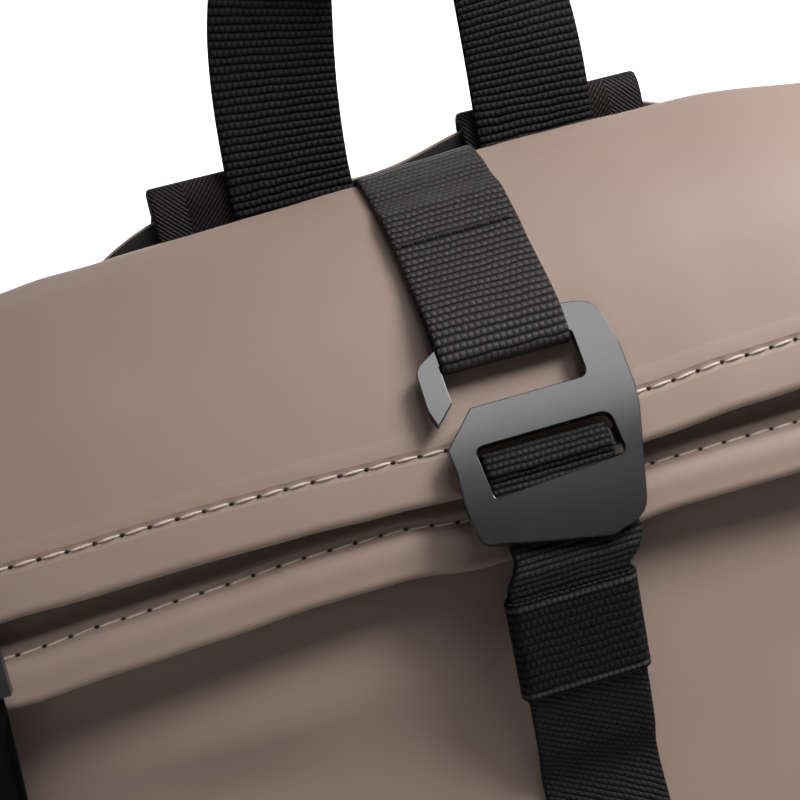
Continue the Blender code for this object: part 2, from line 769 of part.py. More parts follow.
def make_handle(finish):
    """A webbing loop: its ends lie flat behind the front strap, and it turns edge-on over the arch."""
    y = BACK_Y + 2 * CLEARANCE + 1.5 * STRAP_THICKNESS
    base = BAG_HEIGHT - SEAM_DROP - SEAM_ALLOWANCE
    straight_to = BAG_HEIGHT + HANDLE_STRAIGHT
    half = HANDLE_SPACING / 2
    leg_steps = 4
    arch_steps = 18
    legs = [base + (straight_to - base) * step / leg_steps for step in range(leg_steps)]
    centres = [Vector((HANDLE_X - half, y, z)) for z in legs]
    sides = [Vector((1, 0, 0)) for z in legs]
    for step in range(arch_steps + 1):
        angle = math.pi * step / arch_steps
        across = -half * math.cos(angle)
        rise = math.sin(angle) ** 0.8
        turn = math.pi / 2 * rise ** 2.2
        if step * 2 > arch_steps:
            turn = math.pi - turn
        centres.append(Vector((HANDLE_X + across + HANDLE_LEAN * rise, y,
                               straight_to + HANDLE_RISE * rise)))
        sides.append(Vector((math.cos(turn), -math.sin(turn), 0)))
    centres += [Vector((HANDLE_X + half, y, z)) for z in reversed(legs)]
    sides += [Vector((-1, 0, 0)) for z in legs]
    return sweep_band("carry_handle", centres, sides, HANDLE_WIDTH, STRAP_THICKNESS, finish)


def shoulder_curve(side, spread):
    """A shoulder strap's centre line, from the seam over the yoke's edge to the foot, and the count of
    its points as far as the yoke's back.
    """
    inside = BACK_Y + 3 * CLEARANCE + 2 * STRAP_THICKNESS + SHOULDER_THICKNESS / 2
    outside = inside + SHOULDER_THICKNESS + YOKE_THICKNESS + 4 * CLEARANCE
    edge = BAG_HEIGHT - YOKE_TOP_DROP
    x = HARNESS_X + side * SHOULDER_SPACING / 2
    centres = [Vector((x, inside, BAG_HEIGHT - SEAM_DROP - SEAM_ALLOWANCE)), Vector((x, inside, edge))]
    middle = (inside + outside) / 2
    radius = (outside - inside) / 2
    for step in range(1, 6):
        angle = math.pi * step / 6
        centres.append(Vector((x, middle - radius * math.cos(angle),
                               edge + (radius + SHOULDER_TOP_RISE) * math.sin(angle))))
    centres.append(Vector((x, outside, edge)))
    wrapped = len(centres)
    back = BACK_Y + CLEARANCE + SHOULDER_THICKNESS / 2
    steps = 14
    high = edge - SHOULDER_STRAIGHT
    for step in range(steps + 1):
        share = step / steps
        bow = SHOULDER_BOW * math.sin(math.pi * max(0.0, share - 0.05) / 0.95) ** 1.1
        centres.append(Vector((x + side * spread * min(1.0, 0.08 + 2.2 * share) ** 0.7,
                               outside + (back - outside) * share ** 4 + bow,
                               high + (SHOULDER_FOOT_HEIGHT - high) * share)))
    centres.append(centres[-1] - Vector((0, 0, SHOULDER_FOOT_LENGTH)))
    return centres, wrapped


def make_shoulder_strap(name, side, spread, finish):
    centres, wrapped = shoulder_curve(side, spread)
    sides = []
    for index, centre in enumerate(centres):
        run = centres[min(index + 1, len(centres) - 1)] - centres[max(index - 1, 0)]
        # behind the yoke the band stays level with the back while it spreads outwards
        level = run.cross(Vector((0, 1, 0))).normalized()
        sides.append(level if index >= wrapped else Vector((1, 0, 0)))
    return sweep_band(name, centres, sides, SHOULDER_WIDTH, SHOULDER_THICKNESS, finish)


# Side straps: from each end of the folded mouth down the bag's front corner

def spot_on(rings, station, across, outer_layer):
    """A point of the bag's outside at a share across, on the outer or inner layer of a section."""
    ring = rings[station]
    half = len(ring) // 2
    run = ring[:half + 1] if outer_layer else [ring[0]] + list(reversed(ring[half:]))
    for first, second in zip(run, run[1:]):
        if first.x >= across * BAG_WIDTH / 2 >= second.x:
            share = (first.x - across * BAG_WIDTH / 2) / (first.x - second.x)
            return first.lerp(second, share)
    return run[-1].copy()


def side_strap_path(rings, side):
    """Centres down the bag's corner with each point's width direction."""
    across = side * SIDE_STRAP_PLACE
    nudge = 0.02
    top = len(rings) - 1
    spots = [(top - 4, True), (top - 2, True), (top, True), (top, False)]
    neck = len(BODY_SECTIONS) - 2
    spots += [(neck - step, False) for step in range(SIDE_STRAP_SECTION_COUNT)]
    centres = []
    sides = []
    for station, outer_layer in spots:
        here = spot_on(rings, station, across, outer_layer)
        run = (spot_on(rings, station, across + nudge, outer_layer)
               - spot_on(rings, station, across - nudge, outer_layer)).normalized()
        facing = Vector((run.y, -run.x, 0)).normalized()
        lift = CLEARANCE + STRAP_THICKNESS / 2 + SIDE_STRAP_LIFT
        if station == top:
            lift += SIDE_SLIDER_WALL
        if (station, outer_layer) == (top, False):
            lift += HEM_WALL
        centres.append(here + facing * lift)
        sides.append(Vector((-facing.y, facing.x, 0)))
    return centres, sides


def make_side_strap(name, rings, side, finish):
    centres, sides = side_strap_path(rings, side)
    return sweep_band(name, centres, sides, SIDE_STRAP_WIDTH, STRAP_THICKNESS, finish)


def make_side_slider(name, rings, side, finish):
    centres, sides = side_strap_path(rings, side)
    middle = centres[2].lerp(centres[3], 0.5)
    return make_ring_band(name, middle, centres[3] - centres[2], sides[2],
                          SIDE_STRAP_WIDTH + 2 * CLEARANCE, STRAP_THICKNESS + 2 * CLEARANCE,
                          SIDE_SLIDER_HEIGHT, SIDE_SLIDER_WALL, finish)


def main():
    clear_scene()
    coated = material("coated_fabric", (0.27, 0.215, 0.18), 0.55)
    webbing = material("webbing", (0.012, 0.012, 0.014), 0.8)
    herringbone = material("herringbone", (0.012, 0.012, 0.014), 0.7)
    metal = material("hook_metal", (0.02, 0.02, 0.023), 0.35, 0.9)
    plastic = material("fitting", (0.02, 0.02, 0.022), 0.5)

    inner, outer = bag_profiles()[:2]
    shifts = bag_profiles()[5]
    rings = bag_surfaces()[0]
    frame = hook_frame(outer)
    make_bag(coated)
    make_yoke(coated)
    make_hook(frame, metal)
    make_front_strap(outer, shifts, frame, webbing)
    make_lower_strap(inner, frame, webbing)
    make_keeper(inner, frame, webbing)
    make_handle(webbing)
    make_shoulder_strap("shoulder_strap_left", -1, SHOULDER_SPREAD_LEFT, herringbone)
    make_shoulder_strap("shoulder_strap_right", 1, SHOULDER_SPREAD_RIGHT, herringbone)
    for name, side in (("left", -1), ("right", 1)):
        make_side_strap("side_strap_" + name, rings, side, webbing)
        make_side_slider("side_slider_" + name, rings, side, plastic)


main()
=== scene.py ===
import math
from itertools import accumulate

import bmesh
import bpy
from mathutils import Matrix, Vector, noise


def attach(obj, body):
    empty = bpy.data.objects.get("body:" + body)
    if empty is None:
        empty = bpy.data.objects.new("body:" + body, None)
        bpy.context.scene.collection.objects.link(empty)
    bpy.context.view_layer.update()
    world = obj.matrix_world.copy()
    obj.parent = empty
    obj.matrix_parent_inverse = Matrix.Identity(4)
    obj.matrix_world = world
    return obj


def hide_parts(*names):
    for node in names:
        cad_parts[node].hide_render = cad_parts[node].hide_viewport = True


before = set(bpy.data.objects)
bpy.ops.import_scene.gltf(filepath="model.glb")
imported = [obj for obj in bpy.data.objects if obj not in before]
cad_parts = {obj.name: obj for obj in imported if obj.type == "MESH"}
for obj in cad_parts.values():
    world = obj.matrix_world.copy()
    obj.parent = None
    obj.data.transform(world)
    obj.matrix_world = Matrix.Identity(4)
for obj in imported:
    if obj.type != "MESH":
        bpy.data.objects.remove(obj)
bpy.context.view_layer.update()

MM = 0.001

# Sizes shared with the part's source
BAG_WIDTH = 290 * MM
BAG_HEIGHT = 420 * MM
BAG_DEPTH = 118 * MM
BACK_Y = 60 * MM
FLAP_REACH = 79 * MM
FLAP_DROP = 84 * MM
END_DROOP = 10.5 * MM
LINE_SHIFT = 4 * MM
DENT_DEPTH = 3.0 * MM
CLEARANCE = 0.3 * MM
STRAP_WIDTH = 30.5 * MM
STRAP_THICKNESS = 1.4 * MM
SHOULDER_WIDTH = 50 * MM
SHOULDER_THICKNESS = 2.2 * MM
LOWER_STRAP_WIDTH = 28 * MM
KEEPER_HEIGHT = 24.5 * MM
KEEPER_THICKNESS = 0.9 * MM
SEAM_DROP = 26 * MM
SEAM_ALLOWANCE = 6 * MM
WEBBING_SEAM_HEIGHT = BAG_HEIGHT - SEAM_DROP - SEAM_ALLOWANCE
YOKE_HALF_WIDTH = 84 * MM
YOKE_THICKNESS = 2.0 * MM
YOKE_LENGTH = 75 * MM
YOKE_TOP_DROP = 0.5 * MM
YOKE_DIP = 3.5 * MM
YOKE_EDGE_RISE = 5.5 * MM
YOKE_END_FALL = 9 * MM
HANDLE_WIDTH = 31.8 * MM
HANDLE_SPACING = 66.4 * MM
HANDLE_STRAIGHT = 2 * MM
HANDLE_RISE = 84 * MM
HANDLE_LEAN = 4.5 * MM
HANDLE_X = 4.6 * MM
HARNESS_X = 2 * MM
SHOULDER_SPACING = 83 * MM
SHOULDER_TOP_RISE = 3.5 * MM
SHOULDER_STRAIGHT = 10 * MM
SHOULDER_BOW = 40 * MM
SHOULDER_SPREAD_LEFT = 30 * MM
SHOULDER_SPREAD_RIGHT = 16 * MM
SHOULDER_SIDE_START = 0.08
SHOULDER_SIDE_RATE = 2.2
SHOULDER_SIDE_POWER = 0.7
SHOULDER_FOOT_HEIGHT = 34 * MM
SHOULDER_FOOT_LENGTH = 14 * MM
HOOK_LENGTH = 46.6 * MM
HOOK_THICKNESS = 2.4 * MM
HOOK_TILT = math.radians(33)
HOOK_FROM_HEM = 26 * MM
HOOK_STANDOFF = 2.8 * MM
HOOK_CROSSBAR_DROP = 24.3 * MM
HOOK_CROSSBAR_HEIGHT = 4.0 * MM
HOOK_CROSSBAR_THICKNESS = 1.6 * MM
HOOK_CROSSBAR_SINK = 1.3 * MM
STRAP_FOOT_HEIGHT = 62 * MM
LOWER_STRAP_X = -2.3 * MM
LOWER_LOOP_SLACK = 1.0 * MM
LOWER_STRAP_BELLY = 1.6 * MM
HOOK_BAR_DROP = -2.0 * MM
LOOP_END_FROM_HOOK = 46 * MM
LOOP_OVER_RUN = 27 * MM
LOOP_UNDER_RUN = 15 * MM
LOOP_STEP_RUN = 6 * MM
LOOP_ENTRY_RUN = 8 * MM
LOOP_LEAVE_RUN = 5 * MM

# Sizes of what only the render shows
RING_POINTS = 220
BODY_STEPS = 4
FOLD_STEPS = 8
WALL = 1.6 * MM
HEM_WALL = 2.9 * MM
HEM_SEAM = 9.8 * MM
HEM_END = 13 * MM
STITCH_PITCH = 6.1 * MM
LOWER_STITCH_PITCH = 5.9 * MM
STITCH_GAP = 1.0 * MM
STITCH_RADIUS = 0.36 * MM
STITCH_SLANT = 0.15 * MM
STITCH_SAG = 0.22 * MM
STITCH_LIFT = 0.02 * MM
CROSS_STITCH_PITCH = 3.1 * MM
CROSS_STITCH_GAP = 0.6 * MM
CROSS_STITCH_RADIUS = 0.42 * MM
CROSS_STITCH_FROM_HOOK = 34 * MM
HOLE_REACH = 0.6 * MM
SHOULDER_TURN_SHARE = 0.06
TWILL_END = 262 * MM
YOKE_RISE_X = 20 * MM
YOKE_RISE_REACH = 15 * MM
KEEPER_RIM = 0.12 * MM
# a place away from the hems in the coated fabric's surface coordinates
YOKE_FROM_SEAM = 50 * MM

# height, front, back, width: shares of the bag's height, depth, depth and width
BODY_SECTIONS = [
    (0.000, 0.850, 0.050, 0.900),
    (0.009, 0.915, 0.018, 0.945),
    (0.033, 0.960, 0.000, 0.970),
    (0.119, 0.990, 0.000, 0.985),
    (0.238, 1.000, 0.000, 1.000),
    (0.357, 0.960, 0.000, 1.000),
    (0.476, 0.890, 0.000, 1.000),
    (0.583, 0.800, 0.000, 1.000),
    (0.667, 0.720, 0.000, 1.000),
    (0.733, 0.655, 0.000, 1.000),
]

# inner reach, inner drop, outer reach, outer drop, end droop: shares of the flap's reach and drop
FOLD_SECTIONS = [
    (0.886, 1.024, 0.000, 1.024, 0.00),
    (0.797, 0.881, 0.000, 0.833, 0.10),
    (0.696, 0.738, 0.000, 0.643, 0.30),
    (0.582, 0.571, 0.000, 0.452, 0.55),
    (0.468, 0.405, 0.000, 0.286, 0.80),
    (0.380, 0.274, 0.013, 0.179, 0.95),
    (0.327, 0.214, 0.057, 0.083, 1.00),
    (0.322, 0.185, 0.177, 0.000, 1.00),
    (0.335, 0.167, 0.278, 0.017, 1.00),
    (0.359, 0.179, 0.405, 0.077, 0.90),
    (0.544, 0.333, 0.582, 0.202, 0.70),
    (0.684, 0.488, 0.722, 0.345, 0.50),
    (0.778, 0.643, 0.816, 0.476, 0.35),
    (0.861, 0.792, 0.899, 0.607, 0.22),
    (0.930, 0.905, 0.962, 0.714, 0.15),
    (0.981, 1.000, 1.000, 0.786, 0.12),
]

# across, fold, outer hem, inner hem: how the lines rise or fall across the bag, as shares of LINE_SHIFT
LINES_ACROSS = [
    (-1.00, -0.25, 1.05, -0.70),
    (-0.86, -0.30, 0.93, -0.53),
    (-0.68, -0.45, 0.55, 0.00),
    (-0.55, -0.75, 0.52, 0.22),
    (-0.38, -0.90, 0.40, 0.55),
    (-0.24, -0.87, 0.20, 0.55),
    (-0.12, -0.74, 0.00, 0.00),
    (0.00, -0.54, 0.00, 0.00),
    (0.12, -0.34, 0.00, 0.00),
    (0.20, -0.22, 0.30, 0.25),
    (0.35, -0.08, 0.70, 0.25),
    (0.54, 0.25, 1.00, 0.25),
    (0.72, 0.08, 1.00, 0.25),
    (1.00, 0.00, 1.00, 0.25),
]
FOLD_TOP_ROW = 7

# across, height, reach across, reach up, depth: dents of the front wall, as in the part's source
FRONT_DENTS = [
    (-0.62, 0.690, 0.30, 0.050, 1.00),
    (0.55, 0.700, 0.28, 0.045, 0.90),
    (-0.40, 0.450, 0.34, 0.100, 0.70),
    (0.62, 0.400, 0.30, 0.120, 0.80),
    (-0.75, 0.200, 0.22, 0.110, 0.75),
    (0.35, 0.170, 0.26, 0.080, 0.50),
]

# the same for shallow folds that only the render shows; a negative depth is a ridge
SOFT_FOLDS = [
    (-0.46, 0.752, 0.42, 0.024, -0.70),
    (-0.60, 0.776, 0.40, 0.018, 0.50),
    (-0.55, 0.712, 0.50, 0.032, 0.80),
    (0.42, 0.770, 0.34, 0.022, 0.35),
]

# across, down: the corners of the hook's slot, as shares of the strap's width and the hook's length
HOOK_SLOT = [(-0.459, 0.418), (0.577, 0.412), (0.597, 0.637), (-0.436, 0.682)]


# Materials: small helpers for node trees

# near black for the grooves between webbing grains, painted shade
GAP_SHADE_BLACK = (0.002, 0.002, 0.002)
# pale grey for painted highlights on webbing grain tops and lines
PAINTED_HIGHLIGHT_GREY = (0.045, 0.045, 0.05)
WEAVE_ROUGHNESS = 0.55
HERRINGBONE_COLUMN = 10.5 * MM
# scale, detail and roughness of the noise that stands for single fibres
FIBRES = (3800.0, 2.0, 0.7)


class Nodes:
    """A material's node tree with short ways to add and join nodes."""

    def __init__(self, name, colour, roughness):
        self.material = bpy.data.materials.new(name)
        self.material.use_nodes = True
        self.tree = self.material.node_tree
        self.shader = self.tree.nodes["Principled BSDF"]
        self.shader.inputs["Base Color"].default_value = (*colour, 1.0)
        self.shader.inputs["Roughness"].default_value = roughness

    def add(self, kind, **settings):
        node = self.tree.nodes.new(kind)
        for key, value in settings.items():
            setattr(node, key, value)
        return node

    def put(self, socket, value):
        """Joins an output to a socket, or sets the socket's number or colour."""
        if isinstance(value, bpy.types.NodeSocket):
            self.tree.links.new(value, socket)
        else:
            socket.default_value = value

    def math(self, operation, first, second=0.0):
        node = self.add("ShaderNodeMath", operation=operation)
        self.put(node.inputs[0], first)
        self.put(node.inputs[1], second)
        return node.outputs[0]

    def plus(self, first, second):
        return self.math("ADD", first, second)

    def minus(self, first, second):
        return self.math("SUBTRACT", first, second)

    def times(self, first, second):
        return self.math("MULTIPLY", first, second)

    def over(self, first, second):
        return self.math("DIVIDE", first, second)

    def hill(self, value, middle, width):
        """1 at the middle, falling to 0 at a width away, as a parabola."""
        away = self.over(self.minus(value, middle), width)
        return self.math("MAXIMUM", self.minus(1.0, self.times(away, away)), 0.0)

    def uv(self):
        """The two surface coordinates, in metres."""
        source = self.add("ShaderNodeUVMap", uv_map="surface")
        split = self.add("ShaderNodeSeparateXYZ")
        self.put(split.inputs[0], source.outputs[0])
        return split.outputs[0], split.outputs[1]

    def object_noise(self, scale, detail=2.0, rough=0.5):
        place = self.add("ShaderNodeTexCoord")
        source = self.add("ShaderNodeTexNoise")
        self.put(source.inputs["Vector"], place.outputs["Object"])
        self.put(source.inputs["Scale"], scale)
        self.put(source.inputs["Detail"], detail)
        self.put(source.inputs["Roughness"], rough)
        return source.outputs["Fac"]

    def ramp(self, value, stops):
        """Colours by value: stops are (place, colour)."""
        node = self.add("ShaderNodeValToRGB")
        self.put(node.inputs[0], value)
        elements = node.color_ramp.elements
        while len(elements) < len(stops):
            elements.new(0.5)
        for element, (place, colour) in zip(elements, stops):
            element.position = place
            element.color = (*colour, 1.0)
        return node.outputs[0]

    def bump(self, height, distance, strength=1.0, before=None):
        node = self.add("ShaderNodeBump")
        self.put(node.inputs["Height"], height)
        node.inputs["Distance"].default_value = distance
        node.inputs["Strength"].default_value = strength
        if before is not None:
            self.put(node.inputs["Normal"], before)
        return node.outputs[0]

    def finish(self, colour=None, normal=None, roughness=None):
        if colour is not None:
            self.put(self.shader.inputs["Base Color"], colour)
        if normal is not None:
            self.put(self.shader.inputs["Normal"], normal)
        if roughness is not None:
            self.put(self.shader.inputs["Roughness"], roughness)
        return self.material


def coated_fabric():
    """Smooth matt coating: fine grain, soft mottling, and a pressed line along each seam."""
    nodes = Nodes("coated_fabric", (0.30, 0.219, 0.183), 0.55)
    across, back = nodes.uv()
    mottle = nodes.object_noise(28.0, 3.0)
    colour = nodes.ramp(mottle, [(0.25, (0.291, 0.211, 0.176)), (0.75, (0.309, 0.227, 0.190))])
    line = nodes.hill(back, HEM_SEAM, 1.5 * MM)
    wave = nodes.math("SINE", nodes.times(across, 2 * math.pi / STITCH_PITCH))
    pressed = nodes.times(line, nodes.plus(0.75, nodes.times(wave, 0.25)))
    hem_ridge = nodes.hill(back, HEM_END, 2.5 * MM)
    grain = nodes.object_noise(2600.0, 2.0, 0.6)
    height = nodes.minus(nodes.times(hem_ridge, 0.25), pressed)
    first = nodes.bump(height, 0.5 * MM, 0.8)
    second = nodes.bump(grain, 0.05 * MM, 0.35, first)
    rough = nodes.plus(0.47, nodes.times(nodes.object_noise(900.0, 1.0), 0.1))
    nodes.shader.inputs["Specular IOR Level"].default_value = 0.25
    nodes.shader.inputs["Sheen Weight"].default_value = 0.02
    nodes.shader.inputs["Sheen Roughness"].default_value = 0.4
    return nodes.finish(colour, second, rough)


def woven(name, rib, cell, light, depth, gap_shade=GAP_SHADE_BLACK, slant=0.0, shine=0.1, lines=()):
    """Ribbed webbing: rows of grains across the band, every second row moved by half a grain.

    With a slant, the rows up to the twill's end run diagonally, so much along for each step across.
    Lines are places along the band where a pale stripe is painted across as a highlight.
    """
    nodes = Nodes(name, light, WEAVE_ROUGHNESS)
    across, along = nodes.uv()
    wobble = nodes.times(nodes.minus(nodes.object_noise(160.0, 2.0), 0.5), 0.5)
    moved = nodes.plus(nodes.over(along, rib), wobble)
    if slant:
        slanted = nodes.times(nodes.math("LESS_THAN", along, TWILL_END), slant / rib)
        moved = nodes.plus(moved, nodes.times(across, slanted))
    row = nodes.math("FLOOR", moved)
    in_row = nodes.minus(nodes.math("FRACT", moved), 0.5)
    shift = nodes.times(nodes.math("MODULO", row, 2.0), 0.5)
    column = nodes.plus(nodes.over(across, cell), shift)
    in_column = nodes.minus(nodes.math("FRACT", column), 0.5)
    grains = nodes.plus(0.45, nodes.times(nodes.hill(in_column, 0.0, 0.52), 0.55))
    height = nodes.times(nodes.hill(in_row, 0.0, 0.47), grains)
    first = nodes.bump(height, depth, 0.9)
    second = nodes.bump(nodes.object_noise(*FIBRES), 0.12 * MM, 0.35, first)
    # each line is a pale stripe painted into the colour only, as a highlight
    for place in lines:
        height = nodes.plus(height, nodes.times(nodes.hill(along, place, 0.5 * MM), 2.5))
    # colour by height: the hollows between grains are painted near black as shade and the grain tops a
    # little paler as a highlight
    colour = nodes.ramp(nodes.times(height, 0.3), [(0.015, gap_shade), (0.225, light), (0.7, PAINTED_HIGHLIGHT_GREY)])
    nodes.shader.inputs["Specular IOR Level"].default_value = shine
    return nodes.finish(colour, second)


def herringbone():
    """Fine slanted ribs that turn at each column."""
    nodes = Nodes("herringbone", (0.03, 0.028, 0.03), WEAVE_ROUGHNESS)
    across, along = nodes.uv()
    zigzag = nodes.times(nodes.math("PINGPONG", nodes.over(across, HERRINGBONE_COLUMN), 1.0),
                         HERRINGBONE_COLUMN)
    slanted = nodes.over(nodes.plus(along, zigzag), 1.25 * MM)
    in_rib = nodes.minus(nodes.math("FRACT", slanted), 0.5)
    in_grain = nodes.minus(nodes.math("FRACT", nodes.over(nodes.minus(along, zigzag), 2.0 * MM)), 0.5)
    grains = nodes.plus(0.6, nodes.times(nodes.hill(in_grain, 0.0, 0.52), 0.4))
    height = nodes.times(nodes.hill(in_rib, 0.0, 0.5), grains)
    first = nodes.bump(height, 0.35 * MM, 0.9)
    second = nodes.bump(nodes.object_noise(*FIBRES), 0.1 * MM, 0.3, first)
    # colour by height: the grooves between ribs are painted near black as shade, the rib tops lighter
    colour = nodes.ramp(height, [(0.05, (0.003, 0.0025, 0.0025)), (0.8, (0.028, 0.023, 0.023))])
    nodes.shader.inputs["Specular IOR Level"].default_value = 0.15
    return nodes.finish(colour, second)


def thread():
    nodes = Nodes("thread", (0.62, 0.52, 0.44), 0.6)
    twist = nodes.object_noise(2500.0, 2.0)
    return nodes.finish(nodes.ramp(twist, [(0.3, (0.5, 0.41, 0.34)), (0.7, (0.72, 0.61, 0.52))]),
                        nodes.bump(twist, 0.1 * MM, 0.5))


def plain_dark(name, colour, roughness):
    nodes = Nodes(name, colour, roughness)
    grain = nodes.object_noise(1500.0, 2.0)
    return nodes.finish(normal=nodes.bump(grain, 0.05 * MM, 0.3))


def hook_metal():
    """Satin black coating over metal, with a fine grain and faint smudges."""
    nodes = Nodes("hook_metal", (0.014, 0.014, 0.015), 0.3)
    grain = nodes.object_noise(1400.0, 3.0)
    smudge = nodes.object_noise(55.0, 3.0)
    rough = nodes.plus(0.1, nodes.times(smudge, 0.05))
    nodes.shader.inputs["Specular IOR Level"].default_value = 1.0
    return nodes.finish(normal=nodes.bump(grain, 0.01 * MM, 0.2), roughness=rough)


COATED = coated_fabric()
# the darkest colour of each webbing is painted shade in its grooves
WEBBING = woven("webbing", 1.9 * MM, 1.55 * MM, (0.048, 0.042, 0.044), 0.55 * MM,
                gap_shade=(0.003, 0.003, 0.003), shine=0.2)
HANDLE_WEAVE = woven("handle_weave", 1.9 * MM, 1.55 * MM, (0.018, 0.016, 0.017), 0.5 * MM)
WEBBING_FINE = woven("webbing_fine", 1.5 * MM, 1.35 * MM, (0.017, 0.017, 0.018), 0.35 * MM, slant=0.55)
# the keeper's two lines near its upper and lower edges are painted highlights
KEEPER_WEAVE = woven("keeper_weave", 1.95 * MM, 1.3 * MM, (0.010, 0.010, 0.011), 0.6 * MM,
                     lines=(1.1 * MM, KEEPER_HEIGHT - 2.0 * MM))
HERRINGBONE = herringbone()
THREAD = thread()
DARK_THREAD = plain_dark("dark_thread", (0.003, 0.003, 0.003), 0.8)
# dark capsules painted as the shade inside needle holes
HOLE_SHADE = plain_dark("needle_hole_shade", (0.02, 0.015, 0.012), 0.9)
# near black painted on the yoke's side towards the bag, as shade
YOKE_SHADE = plain_dark("yoke_painted_shade", (0.010, 0.009, 0.009), 0.75)
HOOK = hook_metal()
FITTING = plain_dark("fitting", (0.02, 0.02, 0.022), 0.42)


# Mesh helpers

def new_object(name, bm, *finishes):
    mesh = bpy.data.meshes.new(name)
    bm.to_mesh(mesh)
    bm.free()
    for finish in finishes:
        mesh.materials.append(finish)
    mesh.shade_smooth()
    made = bpy.data.objects.new(name, mesh)
    bpy.context.scene.collection.objects.link(made)
    return made


def new_piece(name, bm, slot_name, *finishes, node=None):
    """A piece on the body; slot_name is not used; node is the plain solid that it replaces."""
    made = new_object(name, bm, *finishes)
    if node:
        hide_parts(node)
    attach(made, "root")
    return made


def skin(bm, rings, coordinates, flip=False):
    """Rows of faces between neighbouring closed rings of vertices.

    coordinates(ring, spot) gives the surface coordinates at each corner.
    """
    layer = bm.loops.layers.uv.get("surface") or bm.loops.layers.uv.new("surface")
    count = len(rings[0])
    rows = []
    for ring in range(len(rings) - 1):
        row = []
        for spot in range(count):
            corners = [(ring, spot), (ring, spot + 1), (ring + 1, spot + 1), (ring + 1, spot)]
            if flip:
                corners.reverse()
            face = bm.faces.new([rings[low][place % count] for low, place in corners])
            for loop, corner in zip(face.loops, corners):
                loop[layer].uv = coordinates(*corner)
            row.append(face)
        rows.append(row)
    return rows


def smooth_rows(rows, steps):
    """A Catmull-Rom curve through rows of numbers, with the given steps between neighbours."""
    out = []
    last = len(rows) - 1
    for index in range(last):
        before = rows[max(index - 1, 0)]
        after = rows[min(index + 2, last)]
        for step in range(steps):
            t = step / steps
            row = []
            for a, b, c, d in zip(before, rows[index], rows[index + 1], after):
                row.append(0.5 * (2 * b + (c - a) * t + (2 * a - 5 * b + 4 * c - d) * t * t
                                  + (3 * b - a - 3 * c + d) * t ** 3))
            out.append(tuple(row))
    out.append(tuple(rows[last]))
    return out


def left_normals(points):
    found = []
    for index, point in enumerate(points):
        before = points[max(index - 1, 0)]
        after = points[min(index + 1, len(points) - 1)]
        first = (point - before).normalized() if index else (after - point).normalized()
        second = (after - point).normalized() if index < len(points) - 1 else first
        middle = (first + second).normalized()
        found.append((Vector((-middle.y, middle.x)), 1.0 / max(middle.dot(first), 0.5)))
    return found


def offset(points, distance):
    distances = distance if isinstance(distance, list) else [distance] * len(points)
    return [point + normal * stretch * far
            for point, (normal, stretch), far in zip(points, left_normals(points), distances)]


def lengths_along(points):
    steps = [(second - first).length for first, second in zip(points, points[1:])]
    return list(accumulate(steps, initial=0.0))


def lengths_round(outline):
    """Distances along a closed outline of (a, b) points, back to its start."""
    steps = map(math.dist, outline, outline[1:] + outline[:1])
    return list(accumulate(steps, initial=0.0))


def point_along(points, distance):
    """The point at a distance along a line in (y, z), and the normal to its left."""
    done = lengths_along(points)
    last = len(points) - 2
    index = next((index for index in range(last) if done[index + 1] >= distance), last)
    run = points[index + 1] - points[index]
    unit = run.normalized()
    return points[index] + run * ((distance - done[index]) / run.length), Vector((-unit.y, unit.x))


def part_of(points, start, end):
    done = lengths_along(points)
    middle = [point for point, far in zip(points, done) if start + 1 * MM < far < end - 1 * MM]
    return [point_along(points, start)[0]] + middle + [point_along(points, end)[0]]


def flat_curve(curve, x, step=0.8 * MM):
    """Evenly spaced points on a smooth curve through (y, z) points, all at one x."""
    fine = [Vector(row) for row in smooth_rows([(x, *point) for point in curve], 12)]
    done = lengths_along(fine)
    count = max(2, round(done[-1] / step))
    found = []
    place = 0
    for index in range(count + 1):
        wanted = done[-1] * index / count
        while place < len(fine) - 2 and done[place + 1] < wanted:
            place += 1
        share = (wanted - done[place]) / max(done[place + 1] - done[place], 1e-9)
        found.append(fine[place].lerp(fine[place + 1], share))
    return found


# The bag

def bag_profiles(body_steps, fold_steps):
    """The inner and outer line from base to mouth in (y, z), with widths, droops and shifts."""
    rows = []
    for height, front, back, width in BODY_SECTIONS:
        z = height * BAG_HEIGHT
        rows.append((BACK_Y - front * BAG_DEPTH, z, BACK_Y - back * BAG_DEPTH, z, width, 0.0))
    neck = len(rows)
    for inner_reach, inner_drop, outer_reach, outer_drop, droop in FOLD_SECTIONS:
        rows.append((BACK_Y - inner_reach * FLAP_REACH, BAG_HEIGHT - inner_drop * FLAP_DROP,
                     BACK_Y - outer_reach * FLAP_REACH, BAG_HEIGHT - outer_drop * FLAP_DROP,
                     1.0, droop))
    fold = smooth_rows(rows[neck:], fold_steps)
    body = smooth_rows(rows[:neck + 1], body_steps)[:-1] if body_steps > 1 else rows[:neck]
    rows = body + fold
    inner = [Vector((row[0], row[1])) for row in rows]
    outer = [Vector((row[2], row[3])) for row in rows]
    shifts = [(0.0, 0.0)] * len(body)
    top = FOLD_TOP_ROW / (len(FOLD_SECTIONS) - 1)
    for index in range(len(fold)):
        share = index / (len(fold) - 1)
        shifts.append((ease(share / top), ease((share - top) / (1 - top))))
    return inner, outer, [row[4] for row in rows], [row[5] for row in rows], shifts


def ease(share):
    share = max(0.0, min(1.0, share))
    return share * share * (3 - 2 * share)


def line_shift(across, deep, rise, hem):
    """How far a place across the fold lies above its straight line; deep is -1 inner to 1 outer."""
    for low, high in zip(LINES_ACROSS, LINES_ACROSS[1:]):
        if across <= high[0]:
            break
    share = ease((across - low[0]) / (high[0] - low[0]))
    fold, outer, inner = [a + (b - a) * share for a, b in zip(low[1:], high[1:])]
    at_hem = inner + (outer - inner) * (1 + deep) / 2
    return LINE_SHIFT * rise * (fold + (at_hem - fold) * hem)


